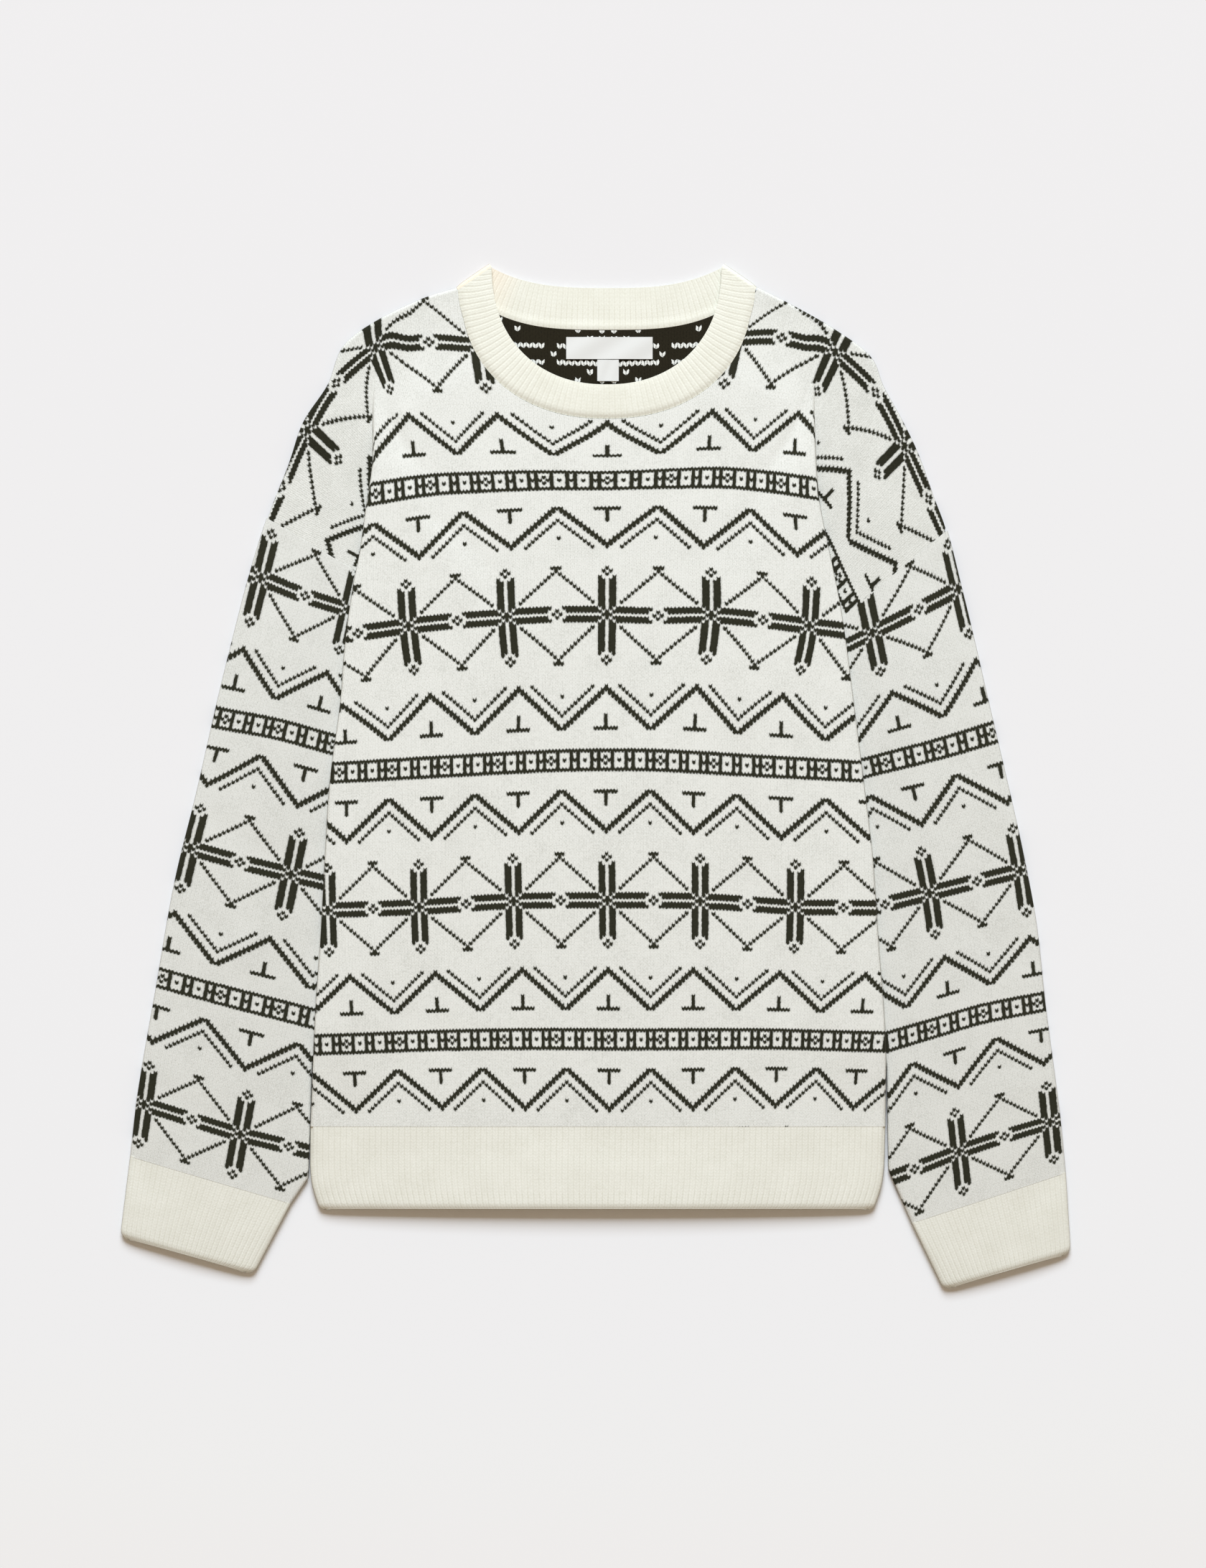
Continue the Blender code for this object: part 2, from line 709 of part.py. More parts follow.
def label(name, size):
    """A bare satin label, lying on the inside of the back."""
    thick = size["thick"]
    centre = place(RIGHT, size["down"], size["out"], CLOTH + SEAM_GAP + thick / 2)
    bpy.ops.mesh.primitive_cube_add(size=1, location=centre)
    obj = bpy.context.object
    obj.name = name
    obj.data.name = name
    bm = bmesh.new()
    bm.from_mesh(obj.data)
    bmesh.ops.scale(
        bm, vec=(size["width"] * MM, size["height"] * MM, thick * MM), verts=bm.verts
    )
    bm.to_mesh(obj.data)
    bm.free()
    obj.data.materials.append(satin)
    for holder in obj.users_collection:
        holder.objects.unlink(obj)
    collection.objects.link(obj)
    return obj


def make_material(name):
    look = MATERIALS[name]
    material = bpy.data.materials.new(name)
    material.use_nodes = True
    shader = material.node_tree.nodes["Principled BSDF"]
    shader.inputs["Base Color"].default_value = look["color"]
    shader.inputs["Roughness"].default_value = look["roughness"]
    shader.inputs["Metallic"].default_value = 0
    return material


for old in list(bpy.data.objects):
    bpy.data.objects.remove(old, do_unlink=True)

collection = bpy.data.collections.new("fair_isle_jumper")
bpy.context.scene.collection.children.link(collection)
knit = make_material("jacquard_knit")
rib = make_material("rib_knit")
satin = make_material("satin")

back_panel()
front_panel()
sleeve(LEFT, "sleeve_left")
sleeve(RIGHT, "sleeve_right")
cuff(LEFT, "cuff_left")
cuff(RIGHT, "cuff_right")
hem_rib()
neckband()
label("neck_label", LABEL)
label("size_label", SIZE_LABEL)
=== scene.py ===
# %% [markdown]
# # A fair isle jumper, laid flat
#
# The jumper lies on its back with the sleeves brought down beside the body. It is knitted in
# pieces: a front, a back, two sleeves, and ribs at the neck, the cuffs and the hem. Each piece is
# built here as its own thin sheet of cloth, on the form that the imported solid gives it.
#
# The cloth could be draped by a simulation, but a garment that is laid out by hand has its folds
# where the hand put them. So the main folds are worked out from sizes, row by row.
#
# A pattern that is knitted follows the stitches and not the surface. So every sheet carries a
# map that counts stitches across and rows down, and one chart of the pattern reads that map.

# %% Load the frame that the pieces are fitted to
import math

import bmesh
import bpy
import numpy as np
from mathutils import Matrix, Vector


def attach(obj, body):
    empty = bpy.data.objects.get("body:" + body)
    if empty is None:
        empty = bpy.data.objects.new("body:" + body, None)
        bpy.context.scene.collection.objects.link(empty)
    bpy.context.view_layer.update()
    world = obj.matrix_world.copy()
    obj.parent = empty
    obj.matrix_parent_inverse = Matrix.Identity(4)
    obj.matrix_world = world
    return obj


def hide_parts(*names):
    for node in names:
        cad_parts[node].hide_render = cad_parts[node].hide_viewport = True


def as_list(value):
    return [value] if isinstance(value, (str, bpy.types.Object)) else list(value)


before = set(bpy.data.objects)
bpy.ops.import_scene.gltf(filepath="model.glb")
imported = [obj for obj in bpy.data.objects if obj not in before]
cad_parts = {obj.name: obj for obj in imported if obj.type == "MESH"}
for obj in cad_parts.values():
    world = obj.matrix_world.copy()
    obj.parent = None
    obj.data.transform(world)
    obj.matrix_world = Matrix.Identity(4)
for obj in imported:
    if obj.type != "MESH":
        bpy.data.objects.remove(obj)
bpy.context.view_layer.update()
print("nodes:", sorted(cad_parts))

# %% [markdown]
# ## Sizes
#
# Lengths are millimetres until they become points. A place in the plan is how far down it is from
# the top corner of the neckband, and how far out from the centre front. Each side has its own
# tables, because the folds of a real garment never fall the same way twice.

# %% Sizes of the cloth and heights of its layers
MM = 0.001
TOP_Y = 366.7  # from the middle of the garment's box to the band's top corner
CENTRE_X = 8.0  # the centre front, which isn't quite the middle of the box
CLOTH = 2.2
RIB_CLOTH = 2.6
# Heights are those of the middle of a layer of cloth.
BACK_Z = CLOTH / 2
SLEEVE_RISE = 2.8  # from a sleeve's lower wall to its upper one
LOWER_Z = BACK_Z + SLEEVE_RISE
TURN_RADIUS = 1.3
BODY_EDGE_Z = LOWER_Z + 4 * TURN_RADIUS
HEM_EDGE_Z = 6.4
BELLY = [(24, 4.6), (100, 5.8), (200, 7.2), (350, 7.8), (617, 7.6)]
# Distances down from the top corner at which something starts or ends.
FOLD_START = 76.0  # the side begins to turn under
FOLD_RUN = 84.0  # how far that takes
TUCK_START = 160.0
HEM_SETTLES = 540.0
HEM_SEAM = 617.0
DROP_START = 6.5  # this far above the underarm the cloth begins to drop beside the sleeve
FOLD_GAP = 0.6
SHORTEST = 0.3  # no stretch of a section is shorter
print("the body's edge stands", round(BODY_EDGE_Z + CLOTH / 2, 2), "mm high")

# %% [markdown]
# Each side has a table for the body's edge, one for the outline of the shoulder and sleeve, and
# the places of its corners. A few places on a smooth curve keep a soft line soft; a point for each
# stitch would only add noise to it.

# %% The two sides, in (down, out)
LEFT = {
    "sign": -1,
    "edge": [(24, 105.2), (40, 131), (53, 150), (66, 163), (86, 166.3), (141, 167.9),
             (169, 172), (206, 177.2), (229, 181.8), (270, 187.5), (314, 191.1),
             (368, 198.3), (422, 201.9), (487, 205.5), (529, 208.6), (572, 210.6),
             (617, 212.7)],
    "outline": [(14.4, 105.6), (21.6, 129.3), (37.6, 163.3), (56.1, 188.5), (84.5, 200.3),
                (111.2, 217.8), (140.6, 228.1), (180.3, 244.1), (223.5, 257.5),
                (263.2, 267.8), (306.9, 278.6), (377, 294.6), (439.8, 310),
                (518.6, 323.9), (593.3, 336.8), (638.1, 342)],
    "tip": (180.3, 244.1),
    "underarm": (262.7, 105.6),
    "sleeve_clears": 575.0,
    "sleeve_corner": (654.1, 214.0),
    "cuff_seam": ((638.1, 342.0), (672.6, 226.6)),
    "cuff_end": ((695.5, 349.2), (722.5, 253.0)),
    "hem": [(617.3, 212.7), (655, 212.2), (675.5, 206.5)],
}
RIGHT = {
    "sign": 1,
    "edge": [(24, 105.2), (40, 127), (53, 142), (66, 149), (86, 148.5), (107, 148.3),
             (163, 151.9), (187, 156), (209, 160.7), (251, 168.9), (325, 178.7),
             (399, 188), (427, 191.1), (481, 194.7), (550, 199.8), (596, 200.3),
             (617, 200.1)],
    "outline": [(12.4, 104), (29.9, 138), (44.3, 162.7), (64.4, 189.5), (85.5, 198.8),
                (111.8, 213.2), (133.4, 223.5), (167.9, 236.4), (189, 244.6),
                (227.6, 254.4), (261.6, 262.7), (310.5, 274), (381.1, 290.5),
                (425.4, 300.2), (470.2, 308.5), (529.9, 315.2), (608.2, 325.5),
                (649.9, 329.6)],
    "tip": (189.0, 244.6),
    "underarm": (291.5, 120.5),
    "sleeve_clears": 575.0,
    "sleeve_corner": (648.4, 202.2),
    "cuff_seam": ((649.9, 329.6), (686.5, 218.9)),
    "cuff_end": ((707.1, 333.2), (733.4, 241.5)),
    "hem": [(617.3, 200.1), (655, 198.3), (675.5, 192.1)],
}

print("places on the outlines:", len(LEFT["outline"]) + len(RIGHT["outline"]))

# %% [markdown]
# The places are joined by cubic curves that pass through each of them, as a tailor's curve does.
# Blender has curve objects for this, but here the distance out is needed at any distance down.

# %% Curves through a table, and a point from its place in the plan


def smooth(value):
    """0 below 0, 1 above 1, and an even rise between them."""
    value = min(max(value, 0.0), 1.0)
    return value * value * (3 - 2 * value)


def smooth_all(values):
    """As smooth, for a whole array."""
    values = np.clip(values, 0, 1)
    return values**2 * (3 - 2 * values)


def cubic(t, start, end, rise_there, rise_here):
    """A curve from start to end that rises so much, over the whole run, at each of them."""
    bend = (2 * t**3 - 3 * t**2 + 1) * start + (3 * t**2 - 2 * t**3) * end
    return bend + (t**3 - 2 * t**2 + t) * rise_there + (t**3 - t**2) * rise_here


def along(table, down):
    """The second column of a two-column table at a distance down, on a smooth curve."""
    if down <= table[0][0]:
        return table[0][1]
    if down >= table[-1][0]:
        return table[-1][1]
    k = next(i for i in range(len(table) - 1) if down <= table[i + 1][0])
    (x0, y0), (x1, y1) = table[k], table[k + 1]
    before, after = table[max(k - 1, 0)], table[min(k + 2, len(table) - 1)]
    run = x1 - x0
    slope0 = (y1 - before[1]) / (x1 - before[0])
    slope1 = (after[1] - y0) / (after[0] - x0)
    return cubic((down - x0) / run, y0, y1, slope0 * run, slope1 * run)


def on_line(start, end, down):
    """How far out a straight line between two places is, at a distance down."""
    return start[1] + (end[1] - start[1]) * (down - start[0]) / (end[0] - start[0])


def place(side, down, out, z):
    """(across, down, height) of a point, across counted from the centre front."""
    return (side["sign"] * out, down, z)


print("the body's edge, half way down:", round(along(LEFT["edge"], HEM_SEAM / 2), 1), "mm out")

# %% [markdown]
# ## The front's folds
#
# The front is wider than it looks: at each side it turns under, comes back, and turns out again
# as the shoulder. Below the underarm it turns under, passes over the sleeve and drops beside it
# to meet the back. Such a section could be drawn point by point, but it is easier to walk: go so
# far, turning so much. Its length is then the real width of the cloth.

# %% Walk a section


def walk(start, heading, moves):
    """Points of a section, from its moves: (length, turn in degrees, steps) in turn."""
    x, z = start
    points = []
    for length, turn, steps in moves:
        bend = math.radians(turn) / steps
        for _ in range(steps):
            heading += bend / 2
            x += length / steps * math.cos(heading)
            z += length / steps * math.sin(heading)
            heading += bend / 2
            points.append((x, z))
    return points


def turn_length(radius, degrees):
    """How much cloth a turn takes."""
    return max(radius * math.radians(abs(degrees)), 0.8)


print("a right angle takes", round(turn_length(TURN_RADIUS, 90), 2), "mm of cloth")

# %% [markdown]
# The fold isn't there at the neck and grows on the way down: first the edge leans over, then it
# lies on itself, and then more and more cloth is tucked under, until the underarm.

# %% The fold at the body's edge
CLEARING = 20.0  # how far the body's edge takes to come clear of the sleeve
TUCK_PAST = 3.0  # how far the cloth turns out again past the underarm's line


def on_body(side, down):
    """True where the front's edge folds over its own lower layer, above the underarm."""
    return down < side["underarm"][0] - DROP_START + 0.1


def cleared(side, down):
    """0 where the body lies on the sleeve, 1 where it is clear of it."""
    return smooth((down - side["sleeve_clears"]) / CLEARING)


def first_turn(side, down):
    """The radius of the edge's turn, wider where no sleeve lies under it."""
    return TURN_RADIUS + 1.2 * cleared(side, down)


def fold_start(side, down):
    """How far out the front is still level."""
    turning = smooth((down - FOLD_START) / FOLD_RUN)
    return along(side["edge"], down) - CLOTH / 2 - first_turn(side, down) * turning


def tuck(side, down):
    """(turn in degrees, width) of the cloth that the body's edge folds under."""
    folded = min(max((down - FOLD_START) / FOLD_RUN, 0.0), 1.0)
    turn = math.degrees(math.acos(1 - folded - smooth(folded)))
    underarm_down, underarm_out = side["underarm"]
    full = along(side["edge"], underarm_down) - CLOTH / 2 - TURN_RADIUS - underarm_out
    share = (down - TUCK_START) / (underarm_down - TUCK_START)
    return turn, max((full + TUCK_PAST) * share, 0.5)


def edge_height(side, down):
    """The middle height of the front's cloth where it starts to turn under."""
    if not on_body(side, down):
        settle = smooth((down - HEM_SETTLES) / (HEM_SEAM - HEM_SETTLES))
        return BODY_EDGE_Z + (HEM_EDGE_Z - BODY_EDGE_Z) * settle
    turn, width = tuck(side, down)
    bend = math.radians(turn)
    return LOWER_Z + 2 * TURN_RADIUS * (1 - math.cos(bend)) + width * math.sin(bend)


def sleeve_inner(side, down):
    """The line that the sleeve's inner fold follows under the body, then beside it."""
    clears = side["sleeve_clears"]
    if down <= clears:
        return on_line(side["underarm"], (clears, along(side["edge"], clears) + FOLD_GAP), down)
    return along(side["edge"], down) + FOLD_GAP


print("turn and width of the left tuck at 200 mm:", np.round(tuck(LEFT, 200), 1).tolist())

# %% [markdown]
# Beyond the edge every row has the same number of points, whatever it does there, so that the rows
# join to one grid. The counts are how many points each stretch of the section gets.

# %% The moves of the front's section beyond its edge
ARC, ACROSS, BACK_ARC, SHOULDER, ROLL, FOOT = 6, 4, 5, 26, 5, 2
HIDDEN = ARC + ACROSS + BACK_ARC
BEYOND = HIDDEN + SHOULDER + ROLL + FOOT
ROLL_FADE = 40.0  # above the sleeve's tip, the rolled outer edge flattens over this distance
DROP_RUN = 12.0  # the cloth comes to hang upright over this distance


def shoulder_moves(side, down, reach):
    """Above the underarm: under, back out, and over the shoulder to its outer edge."""
    turn, width = tuck(side, down)
    arc = turn_length(TURN_RADIUS, turn)
    moves = [(arc, -turn, ARC), (width, 0, ACROSS), (arc, turn, BACK_ARC)]
    rest = reach - walk((0, 0), 0.0, moves)[-1][0]
    if down > side["tip"][0]:
        return moves + [(rest * 0.88, 0, SHOULDER), (rest * 0.09, 0, ROLL), (rest * 0.03, 0, FOOT)]
    angle = 90 * min((side["tip"][0] - down) / ROLL_FADE, 1.0)
    foot = LOWER_Z - TURN_RADIUS - SHORTEST
    rolled = [(turn_length(TURN_RADIUS, 90), -angle, ROLL), (foot, 0, FOOT)]
    straight = rest - walk((0, 0), 0.0, rolled)[-1][0]
    return moves + [(straight, 0, SHOULDER)] + rolled


def side_moves(side, down, reach):
    """Below the underarm: under, over the sleeve, and down beside it to the back."""
    clear = cleared(side, down)
    over = 90 * (1 - clear)
    across = SHORTEST if clear > 0 else max(-reach - TURN_RADIUS, SHORTEST)
    slope = 90 * min((down - side["underarm"][0] + DROP_START) / DROP_RUN, 1.0)
    moves = [
        (turn_length(first_turn(side, down), 90 + over), -90 - over, ARC),
        (across, 0, ACROSS),
        (turn_length(TURN_RADIUS, over + 90 - slope), over + 90 - slope, BACK_ARC),
    ]
    foot = [(turn_length(TURN_RADIUS, 90), -slope, ROLL), (1.0, 0, FOOT)]
    z = edge_height(side, down) + walk((0, 0), 0.0, moves)[-1][1]
    z += walk((0, 0), -math.radians(slope), foot)[-1][1]
    fall = max((z - BACK_Z) / math.sin(math.radians(slope)), SHORTEST)
    return moves + [(fall, 0, SHOULDER)] + foot


def edge_moves(side, down, reach):
    """The moves of the front's section beyond the body's edge, for a reach in plan."""
    moves = shoulder_moves if on_body(side, down) else side_moves
    return moves(side, down, reach)


print("points beyond each edge of the front:", BEYOND)

# %% [markdown]
# The shoulder's own rows don't run straight across: they fan out from the body's edge up to the
# outline, as the cloth's own rows do there. The table says how far down each one ends.

# %% The front's points beyond its edge
SHOULDER_ROWS = [(24, 14.8), (30, 19), (40, 28), (53, 42), (66, 60), (80, 80), (95, 95)]
LEVEL_FROM = 80  # from here down a row runs straight across
MEETS_BELOW = 4  # the two kinds of section change over this distance


def lean(side, down):
    """How much further a wall along the outline reaches across than it is thick."""
    rise = along(side["outline"], down + 4) - along(side["outline"], down - 4)
    return math.hypot(1.0, rise / 8)


def beyond_edge(side, down):
    """The front's points past the body's edge, in the upright plane that its row lies in."""
    start_out, edge_z = fold_start(side, down), edge_height(side, down)
    if down < LEVEL_FROM:
        outline_down = along(SHOULDER_ROWS, down)
        flat = Vector((outline_down - down, along(side["outline"], outline_down) - start_out))
        wall = CLOTH / 2 * (1 + (lean(side, down) - 1) * smooth((down - 66) / (LEVEL_FROM - 66)))
        way = flat.normalized()
        section = walk((0.0, edge_z), 0.0, edge_moves(side, down, flat.length - wall))
        return [place(side, down + way.x * s, start_out + way.y * s, z) for s, z in section]
    if on_body(side, down):
        if down <= side["tip"][0]:
            reach = along(side["outline"], down) - CLOTH / 2 * lean(side, down) - start_out
        else:
            reach = on_line(side["tip"], side["underarm"], down) - 0.1 - start_out
    else:
        reach = sleeve_inner(side, down) - FOLD_GAP - CLOTH / 2 - start_out
    section = walk((start_out, edge_z), 0.0, edge_moves(side, down, reach))
    return [place(side, down, x, z) for x, z in section]


def settled_beyond(side, down):
    """As beyond_edge, passing evenly from one kind of section to the other at the underarm."""
    last = side["underarm"][0] - DROP_START
    share = (down - last) / MEETS_BELOW
    if not 0 < share < 1:
        return beyond_edge(side, down)
    above, below = beyond_edge(side, last), beyond_edge(side, last + MEETS_BELOW)
    return [
        (a[0] + (b[0] - a[0]) * share, down, a[2] + (b[2] - a[2]) * share)
        for a, b in zip(above, below)
    ]


print("the left row at 200 mm ends", round(-settled_beyond(LEFT, 200)[-1][0], 1), "mm out")

# %% [markdown]
# ## The neckline
#
# The neck's edges are parts of rounded curves, drawn by a power of a circle's sine and cosine. A
# grid has no hole for a neck, so each panel's columns start along its neck at equal distances, and
# grow straight and even as they go down. That also keeps the mesh's faces even.

# %% Neck curves
# A curve's half width, its top, its lowest place at the front and at the back, and how far it
# spreads at the fold.
NECK_SEAM = {"half": 104.0, "top": 16.9, "front": 109.0, "back": 45.0, "flare": 2.2}
NECK_FREE = {"half": 82.6, "top": 0.6, "front": 85.0, "back": 15.2, "flare": 0.0}
FRONT_CURVE = 2.2
BACK_SEAM_CURVE = 3.2
BACK_FREE_CURVE = 3.0
NECK_FOLD_Z = 4.9
NECK_FRONT_Z = 6.1
NECK_BACK_Z = RIB_CLOTH / 2
NECK_TUCKED = 0.6


def neck_point(half, top, bottom, power, share):
    """(down, out) on a neck curve: share 0 at the centre, 1 at the shoulder."""
    angle = share * math.pi / 2
    out = half * math.sin(angle) ** (2 / power)
    return top + (bottom - top) * math.cos(angle) ** (2 / power), out


def even_shares(curve, count, end=1.0):
    """Shares up to end that split a neck curve into stretches of equal length."""
    fine = [end * i / 500 for i in range(501)]
    points = [curve(share) for share in fine]
    steps = [math.dist(a, b) for a, b in zip(points, points[1:])]
    run = np.concatenate([[0.0], np.cumsum(steps)])
    return [float(x) for x in np.interp(np.linspace(0, run[-1], count + 1), run, fine)]


def front_neck(share):
    """The front's own edge, a little way under the band."""
    seam = NECK_SEAM
    half, front = seam["half"] + NECK_TUCKED, seam["front"] + NECK_TUCKED
    return neck_point(half, seam["top"], front, FRONT_CURVE, share)


def back_neck(share):
    """The back's own edge, a little way under the band."""
    seam = NECK_SEAM
    half = seam["half"] + NECK_TUCKED
    out = half * math.sin(share * math.pi / 2)
    rise = 1 - (out / half) ** BACK_SEAM_CURVE
    return seam["top"] + NECK_TUCKED + (seam["back"] - seam["top"]) * rise, out


def neck_columns(curve, down, count):
    """The places where a panel's columns start on its neck, from the centre to a depth."""
    low, high = 0.0, 1.0
    for _ in range(40):
        middle = (low + high) / 2
        low, high = (middle, high) if curve(middle)[0] > down else (low, middle)
    return [curve(share) for share in even_shares(curve, count, low)]


def column_place(columns, j, start_out, down, run):
    """(down, out) of column j in the row that reaches the body's edge at a distance down."""
    neck_down, neck_out = columns[j]
    first, width = columns[-1]
    spread = smooth((down - first) / run)
    ratio = (1 - spread) * neck_out / width + spread * j / (len(columns) - 1)
    return down + (neck_down - first) * (1 - spread), start_out * ratio


print("front neck at the centre:", np.round(front_neck(0), 1).tolist(), "mm down and out")

# %% [markdown]
# ## Where the stitches lie
#
# Knitting stretches and leans as it is laid out, so rows arch and columns fan out at the neck. An
# even grid of stitches would look printed on. So each net below lists where some rows of the
# pattern lie: the row's number, then for a few stitches in it the stitch's number, how far out it
# is and how far down. Row 0 and stitch 0 are the middle of a star.

# %% The body's net: row, then (stitch, out, down)
BODY_NET = [
    (-105, [(-56, -168.8, 32.4), (-42, -131.7, 22.7), (-28, -92.5, 28), (0, 0, 26.5),
            (28, 92.5, 25), (42, 131.9, 23.2), (56, 175.2, 37.7)]),
    (-90, [(-56, -165.7, 58.2), (-42, -127.5, 54.2), (-28, -90.9, 56), (0, 0, 53),
           (28, 91, 51.5), (42, 125.5, 51), (56, 163.9, 61.3)]),
    (-68, [(-52, -142, 106.2), (-26, -78.6, 105.9), (0, 0.4, 111.8), (26, 75.9, 103.4),
           (52, 137.7, 104.5)]),
    (-45, [(-64, -165.3, 163.4), (-48, -126.5, 157.1), (-32, -86.7, 154.9), (-16, -45, 153.6),
           (0, 0.5, 153.7), (16, 46.4, 152.3), (32, 86.7, 151.9), (48, 125, 156),
           (64, 162.2, 162.2)]),
    (-22, [(-52, -134.3, 209.8), (-26, -68.3, 202.9), (0, 0.4, 201.2), (26, 69.5, 202),
           (52, 136.5, 207.7)]),
    (0, [(-70, -178.2, 263.3), (-56, -142, 258.2), (-42, -107, 254.4), (-28, -71.6, 251.8),
         (-14, -35.5, 249.8), (0, 0.3, 249.8), (14, 36.9, 250.8), (28, 75, 250.4),
         (42, 112.1, 253.9), (56, 145.1, 258.2)]),
    (22, [(-78, -189, 314.5), (-52, -126.5, 307.1), (-26, -63, 302.5), (0, -0.3, 301.3),
          (26, 64.7, 300.8), (52, 126.5, 307.1)]),
    (45, [(-80, -191.4, 363.1), (-48, -115.9, 358.8), (-16, -39.8, 354.8), (0, -0.8, 354),
          (16, 38.6, 354.5), (48, 115, 358.8), (64, 154.5, 360.9)]),
    (90, [(-84, -199.7, 461.8), (-56, -134.4, 459.5), (-28, -66.6, 455.3), (0, 0.5, 454.7),
          (28, 67, 455.3), (56, 135.3, 459.5), (70, 169.6, 459.9)]),
    (135, [(-80, -186.3, 557.4), (-48, -110.7, 554.8), (-16, -36.1, 554), (0, 1.5, 554.4),
           (16, 38.6, 554.3), (48, 113.3, 554), (80, 185.4, 555.7)]),
]
print("places in the body's net:", sum(len(stitches) for _, stitches in BODY_NET))

# %% [markdown]
# The shoulders carry on from the body's outer stitches, and each sleeve counts its own from the
# stitch at its outer fold.

# %% The nets of the shoulders and of the sleeves
SHOULDER_NETS = {
    "left": [
        (-105, [(-56, -168.8, 32.4), (-70, -210, 66), (-84, -232, 101), (-98, -252, 146)]),
        (-90, [(-56, -165.7, 58.2), (-70, -194, 83.6), (-84, -214.6, 117.6), (-98, -232.8, 158.1)]),
        (-75.5, [(-56, -154.5, 89.6), (-70, -170.5, 108.5), (-84, -191.7, 139.4),
                 (-98, -207.7, 174.2)]),
    ],
    "right": [
        (-105, [(56, 175.2, 37.7), (70, 209.7, 69), (84, 230.3, 112.1), (98, 247.5, 150.6)]),
        (-90, [(56, 163.9, 61.3), (70, 193.1, 90.5), (84, 213.7, 129.1), (98, 230.9, 166.9)]),
        (-75.5, [(56, 150.5, 90.5), (70, 173, 116.5), (84, 193.6, 149.7), (98, 210.8, 186.6)]),
    ],
}
SLEEVE_NETS = {
    "left": [
        (0, [(0, -248.1, 223.5), (14, -216.3, 236.4), (28, -185.4, 246.3)]),
        (45, [(0, -273.2, 325), (16, -235.6, 332.1), (32, -196.7, 342.8)]),
        (90, [(0, -298.9, 417.3), (14, -262.9, 427.3), (28, -226.6, 436.2)]),
        (135, [(0, -318.9, 510.9), (16, -276.8, 522.4), (32, -235.2, 533.2)]),
        (180, [(0, -331.8, 601.2), (14, -297.4, 611.9), (28, -262.9, 622.6), (42, -228.1, 631.4)]),
    ],
    "right": [
        (0, [(0, 252.2, 231.5), (-14, 224, 246.1), (-28, 190.7, 262.8)]),
        (45, [(0, 276.4, 334.8), (-16, 238.4, 346.1), (-32, 200.3, 355.9)]),
        (90, [(0, 296.7, 433.6), (-14, 265.5, 441.1), (-28, 231.6, 449.6), (-42, 199.8, 457.8)]),
        (135, [(0, 308.8, 528.4), (-16, 270.1, 536), (-32, 233.3, 546.9)]),
        (180, [(0, 318, 614.1), (-14, 285.2, 623.9), (-28, 252.8, 635), (-42, 221, 647.5)]),
    ],
}
print("rows in a sleeve's net:", len(SLEEVE_NETS["left"]))

# %% [markdown]
# Between its places a net is a smooth surface that says where any stitch lies. The cloth needs the
# opposite: which stitch lies at a point. Newton's method finds it: guess a stitch, see how far off
# it lies, and step that far, a few times over, for all points at once.

# %% A net that can be searched


class Net:
    """A smooth surface through rows of stitches, which can be asked what stitch lies where."""

    TRIES, LONGEST_STEP = 12, 12

    def __init__(self, rows):
        self.rows = []
        for number, stitches in rows:
            table = np.array(sorted(stitches), float)
            self.rows.append((number, table[:, 0], table[:, 1], table[:, 2]))
        self.numbers = np.array([row[0] for row in self.rows], float)
        marks = [(u, v, x, y) for v, us, xs, ys in self.rows for u, x, y in zip(us, xs, ys)]
        marks = np.array(marks)
        flat = np.column_stack([marks[:, 2:], np.ones(len(marks))])
        self.guess = np.linalg.lstsq(flat, marks[:, :2], rcond=None)[0]

    @staticmethod
    def curve(knots, values, at):
        """A smooth curve through knots, straight beyond them. values may differ by point."""
        count = len(knots)
        inside = np.clip(at, knots[0], knots[-1])
        k = np.clip(np.searchsorted(knots, inside, side="right") - 1, 0, count - 2)
        pick = np.arange(len(at))
        values = np.broadcast_to(values.reshape(count, -1), (count, len(at)))
        before, after = np.maximum(k - 1, 0), np.minimum(k + 2, count - 1)
        y0, y1 = values[k, pick], values[k + 1, pick]
        run = knots[k + 1] - knots[k]
        slope0 = (y1 - values[before, pick]) / (knots[k + 1] - knots[before])
        slope1 = (values[after, pick] - y0) / (knots[after] - knots[k])
        bend = cubic((inside - knots[k]) / run, y0, y1, slope0 * run, slope1 * run)
        return bend + (at - inside) * np.where(at > inside, slope1, slope0)

    def spot(self, u, v):
        """Where stitch u of row v lies."""
        spots = []
        for column in (2, 3):
            each = [self.curve(row[1], row[column], u) for row in self.rows]
            spots.append(self.curve(self.numbers, np.array(each), v))
        return spots

    def stitch_at(self, x, y):
        """(stitch, row) at places of the plan, by Newton's method from a flat first guess."""
        shape, x, y = np.shape(x), np.ravel(x), np.ravel(y)
        flat = np.column_stack([x, y, np.ones(len(x))])
        u, v = (flat @ self.guess).T
        for _ in range(self.TRIES):
            x0, y0 = self.spot(u, v)
            xu, yu = self.spot(u + 0.5, v)
            xv, yv = self.spot(u, v + 0.5)
            a, b, c, d = (xu - x0) * 2, (xv - x0) * 2, (yu - y0) * 2, (yv - y0) * 2
            size = a * d - b * c
            size = np.where(np.abs(size) < 0.5, np.where(size < 0, -0.5, 0.5), size)
            right, down = x - x0, y - y0
            far = self.LONGEST_STEP
            u = u + np.clip((d * right - b * down) / size, -far, far)
            v = v + np.clip((a * down - c * right) / size, -far, far)
        return u.reshape(shape), v.reshape(shape)

    def map_of(self, points):
        """The stitch map of a grid of points."""
        return np.stack(self.stitch_at(points[..., 0], points[..., 1]), axis=-1)


